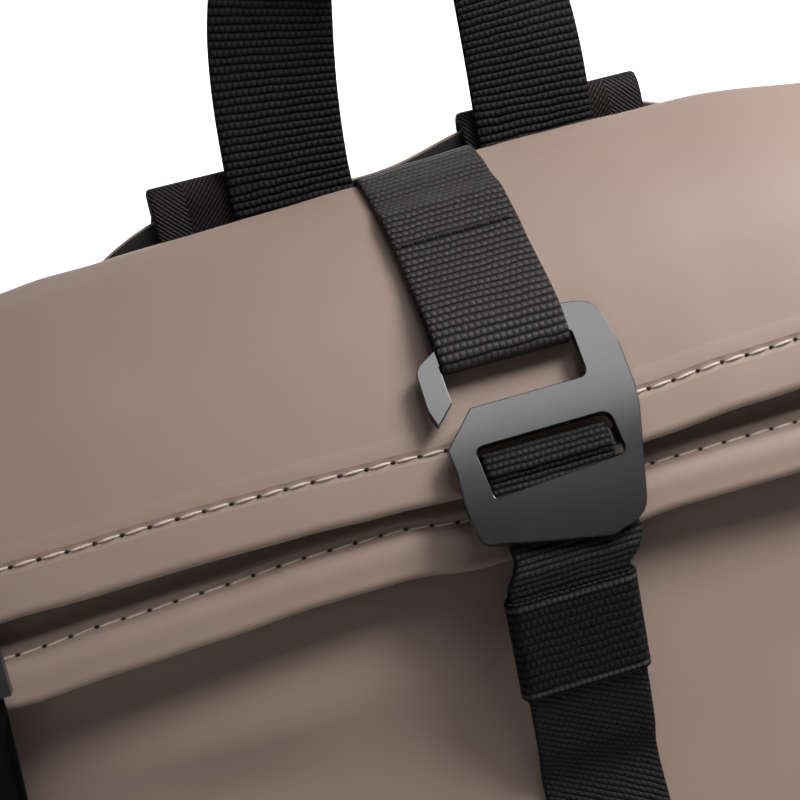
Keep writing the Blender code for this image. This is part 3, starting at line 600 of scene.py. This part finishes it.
def unit_ring(count, exponent, half_width, half_depth):
    """Evenly spaced (across, deep) points on a rounded box, each from -1 to 1."""
    fine = 1440
    dense = []
    for step in range(fine + 1):
        angle = 2 * math.pi * step / fine
        dense.append([math.copysign(abs(part) ** (2 / exponent), part)
                      for part in (math.cos(angle), math.sin(angle))])
    steps = [math.hypot((c - a) * half_width, (d - b) * half_depth)
             for (a, b), (c, d) in zip(dense, dense[1:])]
    run = list(accumulate(steps, initial=0.0))
    ring = []
    place = 0
    for index in range(count):
        wanted = run[-1] * index / count
        while run[place + 1] < wanted:
            place += 1
        share = (wanted - run[place]) / (run[place + 1] - run[place])
        ring.append(tuple(a + (b - a) * share for a, b in zip(dense[place], dense[place + 1])))
    return ring


def dent_at(across, height):
    total = 0.0
    for middle, up, reach_across, reach_up, depth in FRONT_DENTS + SOFT_FOLDS:
        away = ((across - middle) / reach_across) ** 2 + ((height - up) / reach_up) ** 2
        if away < 1:
            total += depth * DENT_DEPTH * (1 - away) ** 2
    return total


def hem_wall(back):
    """The doubled hem's thickness at a distance from the mouth: pinched at the seam, full at the edge."""
    turned = max(0.0, min(1.0, (HEM_END + 1.5 * MM - back) / (3 * MM)))
    thick = WALL + (HEM_WALL - WALL) * turned
    thick += 0.7 * MM * math.exp(-((back - 4.6 * MM) / (3.2 * MM)) ** 2)
    thick -= 0.8 * MM * math.exp(-((back - HEM_SEAM) / (1.3 * MM)) ** 2)
    return thick


def softness(point):
    """A slow swell and fall of the cloth, which keeps the seams and folds where they are."""
    broad = noise.noise(Vector((point.x * 11, point.y * 11 + 3.7, point.z * 14)))
    fine = noise.noise(Vector((point.x * 34 + 9.1, point.y * 34, point.z * 30)))
    return 0.9 * MM * broad + 0.25 * MM * fine


def ring_points(ring, inner, outer, half_width, droop, shift):
    middle = (inner + outer) / 2
    reach = (outer - inner) / 2
    points = []
    for across, deep in ring:
        place = middle + reach * deep
        fall = END_DROOP * droop * abs(across) ** 2.5 - line_shift(across, deep, *shift)
        press = dent_at(across, place.y / BAG_HEIGHT) if deep < 0 and droop == 0 else 0.0
        points.append(Vector((across * half_width, place.x + press * -deep, place.y - fall)))
    return points


def make_bag():
    """The bag; returns its outside and inside, each with distances from the mouth, and its ring."""
    inner, outer, widths, droops, shifts = bag_profiles(BODY_STEPS, FOLD_STEPS)
    ring = unit_ring(RING_POINTS, 4.0, BAG_WIDTH / 2, BAG_DEPTH / 2)
    back_inner = [lengths_along(inner)[-1] - far for far in lengths_along(inner)]
    back_outer = [lengths_along(outer)[-1] - far for far in lengths_along(outer)]
    walls_inner = [hem_wall(back) for back in back_inner]
    walls_outer = [hem_wall(back) for back in back_outer]
    thin_inner = offset(inner, [-wall for wall in walls_inner])
    thin_outer = offset(outer, walls_outer)
    outside = []
    inside = []
    for index, width in enumerate(widths):
        half = width * BAG_WIDTH / 2
        moves = (droops[index], shifts[index])
        outside.append(ring_points(ring, inner[index], outer[index], half, *moves))
        inside.append(ring_points(ring, thin_inner[index], thin_outer[index], half - WALL, *moves))
    for point in inside[0]:
        point.z = WALL
    last = len(widths) - 1
    for rings in (outside, inside):
        for index, points in enumerate(rings):
            calm = min(1.0, index / 14) * min(1.0, 0.3 + (last - index) / 50)
            for point in points:
                point.y += softness(point) * calm

    bm = bmesh.new()
    done = lengths_along(outside[last // 2] + outside[last // 2][:1])
    count = len(ring)

    def surface_at(index, spot):
        share = (1 + ring[spot % count][1]) / 2
        return done[spot], back_inner[index] * (1 - share) + back_outer[index] * share

    outer_rings = [[bm.verts.new(point) for point in points] for points in outside]
    inner_rings = [[bm.verts.new(point) for point in points] for points in inside]
    skin(bm, outer_rings, surface_at)
    skin(bm, inner_rings, surface_at, True)
    # the mouth's rounded lip, a half circle from the outside to the inside
    lip = [outer_rings[-1]]
    lip_steps = 6
    for step in range(1, lip_steps):
        angle = math.pi * step / lip_steps
        row = []
        for spot in range(count):
            a = outside[last][spot]
            b = inside[last][spot]
            ahead = (outside[last][spot] - outside[last - 1][spot]).normalized()
            middle = (a + b) / 2
            row.append(bm.verts.new(middle + (a - middle) * math.cos(angle)
                                    + ahead * (a - middle).length * math.sin(angle)))
        lip.append(row)
    lip.append(inner_rings[-1])
    skin(bm, lip, lambda index, spot: (done[spot], 0.0))
    bm.faces.new(reversed(outer_rings[0]))
    bm.faces.new(inner_rings[0])
    bm.normal_update()
    bag = new_piece("bag_soft", bm, "coated_fabric", COATED, node="bag_body")
    return (outside, back_outer), (inside, back_inner), ring


# Stitches along the two hems

def surface_row(points_by_station, backs, wanted, spots):
    """The points of a skin at a distance from the mouth, with the way towards the mouth."""
    found = []
    for spot in spots:
        for index in range(len(backs) - 1, 0, -1):
            if backs[index - 1] >= wanted >= backs[index]:
                share = (backs[index - 1] - wanted) / (backs[index - 1] - backs[index])
                low = points_by_station[index - 1][spot]
                high = points_by_station[index][spot]
                found.append((low.lerp(high, share), (high - low).normalized()))
                break
    return found


def capsule(bm, start, end, radius, up, sag=0.0, rings=8):
    """A thin rounded thread between two points, arched by sag along up."""
    run = end - start
    along = run.normalized()
    side = along.cross(up).normalized()
    lift = side.cross(along).normalized()
    segments = 8
    rows = []
    for ring in range(rings + 1):
        t = ring / rings
        size = radius * max(0.12, math.sin(math.pi * t) ** 0.35)
        centre = start + run * t + lift * sag * math.sin(math.pi * t)
        rows.append([bm.verts.new(centre + (side * math.cos(2 * math.pi * s / segments)
                                            + lift * math.sin(2 * math.pi * s / segments)) * size)
                     for s in range(segments)])
    for first, second in zip(rows, rows[1:]):
        for s in range(segments):
            t = (s + 1) % segments
            bm.faces.new((first[s], first[t], second[t], second[s]))
    bm.faces.new(list(reversed(rows[0])))
    bm.faces.new(rows[-1])


def stitch_line(name, row, pitch, gap, radius, slant, finish=THREAD, slot_name="coated_fabric"):
    """Threads along a row of surface points, each slightly slanted, with a dark capsule before each that
    is painted as the shade of a needle hole.
    """
    threads = bmesh.new()
    hole_shades = bmesh.new()
    points = [item[0] for item in row]
    done = lengths_along(points)
    for index in range(int(done[-1] / pitch)):
        start_far = index * pitch + gap / 2
        ends = []
        for far in (start_far, start_far + pitch - gap):
            place = max(k for k in range(len(done)) if done[k] <= far)
            place = min(place, len(points) - 2)
            share = (far - done[place]) / (done[place + 1] - done[place])
            ends.append(points[place].lerp(points[place + 1], share))
        towards = row[place][1]
        run = (ends[1] - ends[0]).normalized()
        up = run.cross(towards).normalized()
        start = ends[0] + towards * slant + up * STITCH_LIFT
        end = ends[1] - towards * slant + up * STITCH_LIFT
        capsule(threads, start, end, radius, up, STITCH_SAG)
        # a dark capsule before each thread, painted as the shade inside its needle hole
        spot = ends[0] - run * gap / 2 + up * 2 * STITCH_LIFT
        capsule(hole_shades, spot - run * HOLE_REACH, spot + run * HOLE_REACH, radius * 1.25, up, rings=4)
    for piece_name, bm, colour in ((name, threads, finish), (name + "_hole_shades", hole_shades, HOLE_SHADE)):
        bm.normal_update()
        new_piece(piece_name, bm, slot_name, colour)


def hem_stitches(outer_skin, inner_skin, ring):
    upper = [spot for spot, (across, deep) in enumerate(ring) if deep > 0.3]
    lower = [spot for spot, (across, deep) in enumerate(ring) if deep < -0.3]
    stitch_line("hem_stitches_upper", surface_row(*outer_skin, HEM_SEAM, upper),
                STITCH_PITCH, STITCH_GAP, STITCH_RADIUS, -STITCH_SLANT)
    stitch_line("hem_stitches_lower", surface_row(*inner_skin, HEM_SEAM, lower),
                LOWER_STITCH_PITCH, STITCH_GAP, STITCH_RADIUS, STITCH_SLANT)


hem_stitches(*make_bag())


# Bands

def sweep(name, node, centres, sides, width, thickness, finish, slot_name="webbing", cells=14,
          widths=None, lift=None):
    """A band with rounded edges, along points with a width direction each, and surface coordinates.

    Without sides, the band's width stays along X; lift moves each point up by its own amount.
    """
    bm = bmesh.new()
    half = thickness / 2
    flat = width / 2 - half
    section = []
    for way in (1, -1):
        for step in range(cells + 1):
            section.append((way * flat * (2 * step / cells - 1), way * half))
        for step in range(1, 4):
            angle = math.pi * step / 4
            section.append((way * (flat + half * math.sin(angle)), way * half * math.cos(angle)))
    section.reverse()
    place = lengths_round(section)
    rings = []
    done = lengths_along(centres)
    last = len(centres) - 1
    for index, centre in enumerate(centres):
        run = centres[min(index + 1, last)] - centres[max(index - 1, 0)]
        if sides is None:
            run.x = 0
        run.normalize()
        side = Vector((1, 0, 0)) if sides is None else sides[index]
        side = (side - run * side.dot(run)).normalized()
        up = run.cross(side)
        wide = widths[index] / width if widths else 1.0
        points = [centre + side * a * wide + up * b for a, b in section]
        if lift:
            points = [point + Vector((0, 0, lift(point))) for point in points]
        rings.append([bm.verts.new(point) for point in points])
    skin(bm, rings, lambda index, spot: (place[spot], done[index]))
    bm.faces.new(list(reversed(rings[0])))
    bm.faces.new(rings[-1])
    bmesh.ops.recalc_face_normals(bm, faces=bm.faces)
    band = new_piece(name, bm, slot_name, finish, node=node)
    band.data.set_sharp_from_angle(angle=math.radians(60))


def hook_frame(outer):
    """The hook's origin, its way down along the plate and its way out of the plate, in (y, z)."""
    at_bar, normal = point_along(list(reversed(outer)), HOOK_FROM_HEM)
    down = Vector((-math.sin(HOOK_TILT), -math.cos(HOOK_TILT)))
    out = Vector((-math.cos(HOOK_TILT), math.sin(HOOK_TILT)))
    return at_bar + normal * HOOK_STANDOFF, down, out


def bar_turn(drop, way, radius, start_out):
    """Points half round a bar that lies at a drop along the hook."""
    origin, down, out = HOOK_AT
    centre = origin + down * drop
    points = []
    steps = 6
    for step in range(steps + 1):
        angle = math.pi * step / steps
        points.append(centre + out * (start_out + radius * math.cos(angle))
                      + down * (way * radius * math.sin(angle)))
    return points


cad_profiles = bag_profiles(1, 2)
cad_inner, cad_outer = cad_profiles[:2]
cad_shifts = cad_profiles[-1]
HOOK_AT = hook_frame(cad_outer)


def place_along(curve, place):
    """The point of the curve nearest to a place, as an index with a share of the way to the next."""
    nearest = []
    for index, (low, high) in enumerate(zip(curve, curve[1:])):
        along = high - low
        share = max(0.0, min(1.0, (place - low).dot(along) / along.length_squared))
        nearest.append(((low + along * share - place).length, index + share))
    return min(nearest)[1]


def shares_at(place):
    spot = place_along(cad_outer, place)
    index = min(int(spot), len(cad_shifts) - 2)
    low, high = cad_shifts[index], cad_shifts[index + 1]
    return [a + (b - a) * (spot - index) for a, b in zip(low, high)]


def front_strap_lift(still):
    last = shares_at(still)[1]

    def lift(point):
        rise, hem = shares_at(Vector((point.y, point.z)))
        return line_shift(2 * point.x / BAG_WIDTH, 1.0, rise, 0.0) * max(0.0, 1 - hem / last)

    return lift


def make_front_strap():
    half = STRAP_THICKNESS / 2
    single = CLEARANCE + half
    turn_radius = HOOK_THICKNESS / 2 + CLEARANCE + half
    done = lengths_along(cad_outer)
    hook_far = done[-1] - HOOK_FROM_HEM
    seam = next(far for far, point in zip(done, cad_outer) if point.y > WEBBING_SEAM_HEIGHT)
    loop_end = hook_far - LOOP_END_FROM_HOOK
    over = part_of(cad_outer, seam, loop_end - LOOP_STEP_RUN)
    under_run = part_of(cad_outer, loop_end, hook_far - LOOP_UNDER_RUN)
    over_run = part_of(cad_outer, loop_end, hook_far - LOOP_OVER_RUN)
    under_layer = offset(under_run, -single)
    over_layer = offset(over_run, -(2 * STRAP_THICKNESS + 2 * CLEARANCE - half))
    turn = bar_turn(HOOK_BAR_DROP, 1, turn_radius, HOOK_THICKNESS / 2)
    entry = turn[0] - HOOK_AT[1] * LOOP_ENTRY_RUN
    leave = turn[-1] - HOOK_AT[1] * LOOP_LEAVE_RUN
    curve = offset(over, -single) + over_layer + [entry] + turn + [leave] + list(reversed(under_layer))
    lift = front_strap_lift(under_run[-1])
    # a row of stitches across the strap holds the loop's two layers together
    seam_at, normal = point_along(cad_outer, hook_far - CROSS_STITCH_FROM_HOOK)
    surface = seam_at - normal * (2 * STRAP_THICKNESS + 2 * CLEARANCE)
    towards = Vector((0, -normal.y, normal.x))
    row = []
    for step in range(41):
        across = (step / 20 - 1) * (STRAP_WIDTH / 2 - 1 * MM)
        place = Vector((across, surface.x, surface.y))
        row.append((place + Vector((0, 0, lift(place))), towards))
    stitch_line("strap_stitches", row, CROSS_STITCH_PITCH, CROSS_STITCH_GAP, CROSS_STITCH_RADIUS, 0.0,
                DARK_THREAD, "webbing")
    sweep("front_strap_woven", "front_strap", flat_curve(curve, 0.0), None, STRAP_WIDTH,
          STRAP_THICKNESS, WEBBING, lift=lift)


def lower_strap_parts():
    """The lower strap's line in (y, z): on the wall, free to the hook, behind the hook, round its bar."""
    half = STRAP_THICKNESS / 2
    origin, down, out = HOOK_AT
    front = offset(cad_inner, CLEARANCE + half)
    heights = [point.y for point in cad_inner[:len(BODY_SECTIONS)]]
    foot = next(place for place, height in enumerate(heights) if height > STRAP_FOOT_HEIGHT)
    share = (STRAP_FOOT_HEIGHT - heights[foot - 1]) / (heights[foot] - heights[foot - 1])
    lying = [front[foot - 1].lerp(front[foot], share)] + front[foot:len(BODY_SECTIONS) - 1]
    behind = -(CLEARANCE + half)
    slot_bottom = min(drop for across, drop in HOOK_SLOT[2:]) * HOOK_LENGTH
    under_edge = origin + down * HOOK_LENGTH + out * behind
    behind_plate = origin + down * (slot_bottom - CLEARANCE) + out * behind
    belly = Vector((-LOWER_STRAP_BELLY, 0))
    free = [lying[-1].lerp(under_edge, share) + belly * swell
            for share, swell in ((0.22, 0.7), (0.43, 1.0), (0.90, 1.0))]
    turn = bar_turn(HOOK_CROSSBAR_DROP - HOOK_CROSSBAR_HEIGHT / 2 + CLEARANCE, -1,
                    HOOK_CROSSBAR_THICKNESS / 2 + CLEARANCE + half, -HOOK_CROSSBAR_SINK)
    return lying, free, [under_edge, behind_plate], turn


def make_lower_strap():
    lying, free, behind, turn = lower_strap_parts()
    origin, down, out = HOOK_AT
    layer = STRAP_THICKNESS + CLEARANCE
    radius = HOOK_CROSSBAR_THICKNESS / 2 + CLEARANCE + STRAP_THICKNESS / 2
    bar_edge = (origin + down * (HOOK_CROSSBAR_DROP + HOOK_CROSSBAR_HEIGHT / 2)
                - out * HOOK_CROSSBAR_SINK)
    up_run = free + behind
    tail = offset(up_run, -layer)
    curve = (lying + up_run + [bar_edge + out * radius] + turn + [bar_edge - out * radius]
             + list(reversed(tail[1:])))
    slot_left, slot_right = sorted(across * STRAP_WIDTH for across, drop in HOOK_SLOT)[1:3]
    loop_width = slot_right - slot_left - 2 * CLEARANCE - LOWER_LOOP_SLACK
    loop_x = slot_left + CLEARANCE + loop_width / 2
    centres = flat_curve(curve, LOWER_STRAP_X)
    # the strap narrows and moves over between the keeper's upper edge and the hook's lower edge
    keeper_top = free[2].y
    hook_end = behind[0].y
    widths = []
    for centre in centres:
        rise = max(0.0, min(1.0, (centre.z - keeper_top) / (hook_end - keeper_top)))
        centre.x += (loop_x - LOWER_STRAP_X) * rise
        widths.append(LOWER_STRAP_WIDTH + (loop_width - LOWER_STRAP_WIDTH) * min(1.0, 3 * rise))
    sweep("lower_strap_woven", "lower_strap", centres, None, LOWER_STRAP_WIDTH, STRAP_THICKNESS,
          WEBBING_FINE, widths=widths)


def make_keeper():
    """A webbing band round the lower strap, a rounded flat tube."""
    free = lower_strap_parts()[1]
    layer = STRAP_THICKNESS + CLEARANCE
    low, high = [Vector((LOWER_STRAP_X, point.x, point.y)) for point in free[1:3]]
    along = (high - low).normalized()
    inwards = Vector((0, along.z, -along.y)).normalized()
    middle = low.lerp(high, 0.5) + inwards * (layer / 2)
    side = Vector((1, 0, 0))
    out = along.cross(side)
    half_width = LOWER_STRAP_WIDTH / 2 + CLEARANCE
    half_depth = (STRAP_THICKNESS + layer + 2 * CLEARANCE) / 2
    half_thick = KEEPER_THICKNESS / 2
    corner = half_depth + half_thick
    flat = half_width + half_thick - corner
    path = []
    turn_steps = 8
    flat_steps = 30
    for way, start in ((1, -90), (-1, 90)):
        for step in range(turn_steps + 1):
            angle = math.radians(start + 180 * step / turn_steps)
            path.append((way * flat + corner * math.cos(angle), corner * math.sin(angle)))
        for step in range(1, flat_steps):
            path.append(((1 - 2 * step / flat_steps) * way * flat, corner * way))
    # the outer side has a slight rim near each edge
    profile = []
    half_height = KEEPER_HEIGHT / 2
    high_steps = 24
    shares = [2 * step / high_steps - 1 for step in range(high_steps + 1)]
    for t in shares:
        rim = KEEPER_RIM * math.exp(-((abs(t) - 0.93) / 0.05) ** 2)
        profile.append((t * (half_height - half_thick), half_thick + rim))
    profile.append((half_height, 0.0))
    for t in reversed(shares):
        profile.append((t * (half_height - half_thick), -half_thick))
    profile.append((-half_height, 0.0))
    bm = bmesh.new()
    grid = []
    for index, place in enumerate(path):
        before = Vector(path[index - 1])
        after = Vector(path[(index + 1) % len(path)])
        tangent = (after - before).normalized()
        normal = Vector((tangent.y, -tangent.x))
        column = []
        for height, thick in profile:
            spot = Vector(place) + normal * thick
            column.append(bm.verts.new(middle + along * height + side * spot.x + out * spot.y))
        grid.append(column)
    around = lengths_round(path)
    run = lengths_round(profile)
    skin(bm, grid + grid[:1], lambda index, spot: (around[index], run[spot]))
    bmesh.ops.recalc_face_normals(bm, faces=bm.faces)
    new_piece("keeper_woven", bm, "webbing", KEEPER_WEAVE, node="strap_keeper")


def make_handle():
    y = BACK_Y + 2 * CLEARANCE + 1.5 * STRAP_THICKNESS
    straight_to = BAG_HEIGHT + HANDLE_STRAIGHT
    half = HANDLE_SPACING / 2
    leg_steps = 30
    arch_steps = 160
    leg = straight_to - WEBBING_SEAM_HEIGHT
    legs = [WEBBING_SEAM_HEIGHT + leg * step / leg_steps for step in range(leg_steps)]
    centres = [Vector((HANDLE_X - half, y, z)) for z in legs]
    sides = [Vector((1, 0, 0)) for z in legs]
    for step in range(arch_steps + 1):
        angle = math.pi * step / arch_steps
        across = -half * math.cos(angle)
        rise = math.sin(angle) ** 0.8
        turn = math.pi / 2 * rise ** 2.2
        if step * 2 > arch_steps:
            turn = math.pi - turn
        centres.append(Vector((HANDLE_X + across + HANDLE_LEAN * rise, y,
                               straight_to + HANDLE_RISE * rise)))
        sides.append(Vector((math.cos(turn), -math.sin(turn), 0)))
    centres += [Vector((HANDLE_X + half, y, z)) for z in reversed(legs)]
    sides += [Vector((-1, 0, 0)) for z in legs]
    sweep("carry_handle_woven", "carry_handle", centres, sides, HANDLE_WIDTH, STRAP_THICKNESS,
          HANDLE_WEAVE)


def shoulder_side(height, edge):
    """How far to the side a shoulder strap has gone at a height, as a share of its spread."""
    high = edge - SHOULDER_STRAIGHT
    run = high - SHOULDER_FOOT_HEIGHT
    turn = SHOULDER_SIDE_START + SHOULDER_SIDE_RATE * SHOULDER_TURN_SHARE
    turn_drop = SHOULDER_STRAIGHT + SHOULDER_TURN_SHARE * run
    t = (edge - height) / turn_drop
    if t < 1:
        side = turn ** SHOULDER_SIDE_POWER
        slope = SHOULDER_SIDE_POWER * SHOULDER_SIDE_RATE * side / turn * turn_drop / run
        return side * (3 * t ** 2 - 2 * t ** 3) + slope * (t ** 3 - t ** 2)
    going = SHOULDER_SIDE_START + SHOULDER_SIDE_RATE * (high - height) / run
    rounding = max(0.0, 0.3 - abs(1 - going)) ** 2 / 1.2
    return (min(1.0, going) - rounding) ** SHOULDER_SIDE_POWER


def make_shoulder_strap(name, node, side, spread):
    inside = BACK_Y + 3 * CLEARANCE + 2 * STRAP_THICKNESS + SHOULDER_THICKNESS / 2
    outside = inside + SHOULDER_THICKNESS + YOKE_THICKNESS + 4 * CLEARANCE
    edge = BAG_HEIGHT - YOKE_TOP_DROP
    x = HARNESS_X + side * SHOULDER_SPACING / 2
    rise = edge - WEBBING_SEAM_HEIGHT
    centres = [Vector((x, inside, WEBBING_SEAM_HEIGHT + rise * step / 20)) for step in range(21)]
    middle = (inside + outside) / 2
    radius = (outside - inside) / 2
    for step in range(1, 18):
        angle = math.pi * step / 18
        centres.append(Vector((x, middle - radius * math.cos(angle),
                               edge + (radius + SHOULDER_TOP_RISE) * math.sin(angle))))
    centres.append(Vector((x, outside, edge)))
    wrapped = len(centres)
    back = BACK_Y + CLEARANCE + SHOULDER_THICKNESS / 2
    steps = 120
    high = edge - SHOULDER_STRAIGHT
    for step in range(1, 4):
        height = edge - SHOULDER_STRAIGHT * step / 4
        centres.append(Vector((x + side * spread * shoulder_side(height, edge), outside, height)))
    for step in range(steps + 1):
        share = step / steps
        bow = SHOULDER_BOW * math.sin(math.pi * max(0.0, share - 0.05) / 0.95) ** 1.1
        height = high + (SHOULDER_FOOT_HEIGHT - high) * share
        centres.append(Vector((x + side * spread * shoulder_side(height, edge),
                               outside + (back - outside) * share ** 4 + bow, height)))
    foot = centres[-1]
    for step in range(1, 6):
        centres.append(foot - Vector((0, 0, SHOULDER_FOOT_LENGTH * step / 5)))
    sides = []
    for index, centre in enumerate(centres):
        run = centres[min(index + 3, len(centres) - 1)] - centres[max(index - 3, 0)]
        level = run.cross(Vector((0, 1, 0))).normalized()
        blend_in = max(0.0, min(1.0, (index - wrapped) / 24))
        sides.append(Vector((1, 0, 0)).lerp(level, blend_in).normalized() if level.x > 0 else
                     Vector((1, 0, 0)))
    sweep(name, node, centres, sides, SHOULDER_WIDTH, SHOULDER_THICKNESS, HERRINGBONE, "herringbone", 24)


def make_yoke():
    """The thin panel behind the fold: two layers with a soft rolled upper edge."""
    low = BACK_Y + 4 * CLEARANCE + 2 * STRAP_THICKNESS + SHOULDER_THICKNESS
    top = BAG_HEIGHT - YOKE_TOP_DROP
    bottom = BAG_HEIGHT - YOKE_LENGTH
    columns = 120
    rows = 40
    half = YOKE_THICKNESS / 2
    bm = bmesh.new()
    grid = []
    places = []
    for index in range(columns + 1):
        share = 2 * index / columns - 1
        x = share * YOKE_HALF_WIDTH
        dip = YOKE_DIP * max(0.0, 1 - (x / (HANDLE_SPACING / 2)) ** 2)
        fall = YOKE_END_FALL * max(0.0, (abs(share) - 0.72) / 0.28) ** 1.6
        rise = YOKE_EDGE_RISE * math.exp(-0.5 * ((x - YOKE_RISE_X) / YOKE_RISE_REACH) ** 2)
        flat_top = top - dip - fall + rise - half
        heights = [bottom + (flat_top - bottom) * row / rows for row in range(rows + 1)]
        ring = [(low, z) for z in heights]
        for step in range(1, 6):
            angle = math.pi * step / 6
            ring.append((low + half - half * math.cos(angle), flat_top + half * math.sin(angle)))
        ring += [(low + YOKE_THICKNESS, z) for z in reversed(heights)]
        grid.append([bm.verts.new((HARNESS_X + x, *point)) for point in ring])
        places.append(HARNESS_X + x)
    # the side that faces the bag is painted near black, as shade
    for row in skin(bm, grid, lambda index, spot: (places[index], YOKE_FROM_SEAM)):
        for face in row[:rows + 1]:
            face.material_index = 1
    bm.faces.new(grid[0])
    bm.faces.new(list(reversed(grid[-1])))
    bmesh.ops.recalc_face_normals(bm, faces=bm.faces)
    yoke = new_piece("back_yoke_soft", bm, "coated_fabric", COATED, YOKE_SHADE, node="back_yoke")
    yoke.data.set_sharp_from_angle(angle=math.radians(60))


make_front_strap()
make_lower_strap()
make_keeper()
make_handle()
make_shoulder_strap("shoulder_woven_left", "shoulder_strap_left", -1, SHOULDER_SPREAD_LEFT)
make_shoulder_strap("shoulder_woven_right", "shoulder_strap_right", 1, SHOULDER_SPREAD_RIGHT)
make_yoke()

for node, finish in (("g_hook", HOOK), ("side_slider_left", FITTING), ("side_slider_right", FITTING),
                     ("side_strap_left", WEBBING_FINE), ("side_strap_right", WEBBING_FINE)):
    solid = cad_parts[node]
    for holder in solid.material_slots:
        holder.material = finish
    solid.data.shade_smooth()


# Floor, lights and camera

FLOOR_REACH = 9.0
FLOOR_CURVE_START = 4.0
FLOOR_CURVE_RADIUS = 2.0
FLOOR_TOP = 8.0
WORLD_STRENGTH = 0.06
CAMERA_AZIMUTH = math.radians(-9.6)
CAMERA_ELEVATION = math.radians(13.4)
CAMERA_ROLL = math.radians(13.0)
CAMERA_DISTANCE = 400 * MM
CAMERA_TARGET = Vector((-25.4 * MM, -8 * MM, 374.8 * MM))
CAMERA_SENSOR = 36
CAMERA_LENS = 80.67

# name, place, target, size, power in watts, spread in degrees; the two backdrop lights face away
LIGHTS = [
    ("overhead", (0.5, -0.452, 1.27), (0.5, -0.452, 0.0), (1.0, 0.63), 6.9, 180),
    ("key", (0.47, -0.20, 0.88), (0.17, -0.02, 0.40), (0.45, 0.3), 0.98, 60),
    ("fill", (-0.3, -0.8, 0.4), (0.0, -0.02, 0.37), (0.5, 0.5), 0.3, 180),
    ("backdrop_left", (-1.7, 2.2, 1.6), (-1.7, 6.0, 1.6), (2.2, 2.2), 240, 180),
    ("backdrop_right", (1.7, 2.2, 1.6), (1.7, 6.0, 1.6), (2.2, 2.2), 240, 180),
]


def make_floor():
    """A pale floor that curves up into a wall far behind."""
    bm = bmesh.new()
    outline = [(-FLOOR_REACH, 0.0)]
    for step in range(13):
        angle = math.pi / 2 * step / 12
        outline.append((FLOOR_CURVE_START + FLOOR_CURVE_RADIUS * math.sin(angle),
                        FLOOR_CURVE_RADIUS * (1 - math.cos(angle))))
    outline.append((FLOOR_CURVE_START + FLOOR_CURVE_RADIUS, FLOOR_TOP))
    left, right = [[bm.verts.new((x, y, z)) for y, z in outline] for x in (-FLOOR_REACH, FLOOR_REACH)]
    for index in range(len(outline) - 1):
        bm.faces.new((left[index], right[index], right[index + 1], left[index + 1]))
    bm.normal_update()
    nodes = Nodes("studio_floor", (0.8, 0.8, 0.8), 0.9)
    mottle = nodes.object_noise(3.0, 2.0)
    colour = nodes.ramp(mottle, [(0.3, (0.79, 0.79, 0.79)), (0.7, (0.81, 0.81, 0.81))])
    new_object("studio_floor", bm, nodes.finish(colour))


def add_light(name, place, target, size, power, spread):
    data = bpy.data.lights.new(name, "AREA")
    data.shape = "RECTANGLE"
    data.size, data.size_y = size
    data.energy = power
    data.spread = math.radians(spread)
    light = bpy.data.objects.new(name, data)
    light.location = place
    light.rotation_euler = (Vector(target) - Vector(place)).to_track_quat("-Z", "Y").to_euler()
    bpy.context.scene.collection.objects.link(light)


def make_camera():
    level = math.cos(CAMERA_ELEVATION)
    back = Vector((math.sin(CAMERA_AZIMUTH) * level, -math.cos(CAMERA_AZIMUTH) * level,
                   math.sin(CAMERA_ELEVATION)))
    right = Vector((math.cos(CAMERA_AZIMUTH), math.sin(CAMERA_AZIMUTH), 0))
    up = back.cross(right)
    right_rolled = right * math.cos(CAMERA_ROLL) - up * math.sin(CAMERA_ROLL)
    up_rolled = right * math.sin(CAMERA_ROLL) + up * math.cos(CAMERA_ROLL)
    data = bpy.data.cameras.new("camera")
    data.sensor_width = CAMERA_SENSOR
    data.lens = CAMERA_LENS
    data.clip_start = 0.01
    data.clip_end = 100
    camera = bpy.data.objects.new("camera", data)
    matrix = camera.matrix_world.copy()
    place = CAMERA_TARGET + back * CAMERA_DISTANCE
    for column, direction in enumerate((right_rolled, up_rolled, back, place)):
        for row in range(3):
            matrix[row][column] = direction[row]
    camera.matrix_world = matrix
    bpy.context.scene.collection.objects.link(camera)
    bpy.context.scene.camera = camera


def light_world():
    world = bpy.context.scene.world or bpy.data.worlds.new("studio")
    bpy.context.scene.world = world
    world.use_nodes = True
    background = world.node_tree.nodes["Background"]
    background.inputs[0].default_value = (1.0, 1.0, 1.0, 1.0)
    background.inputs[1].default_value = WORLD_STRENGTH


make_floor()
light_world()
for light in LIGHTS:
    add_light(*light)
make_camera()
bpy.context.scene.view_settings.view_transform = "Standard"
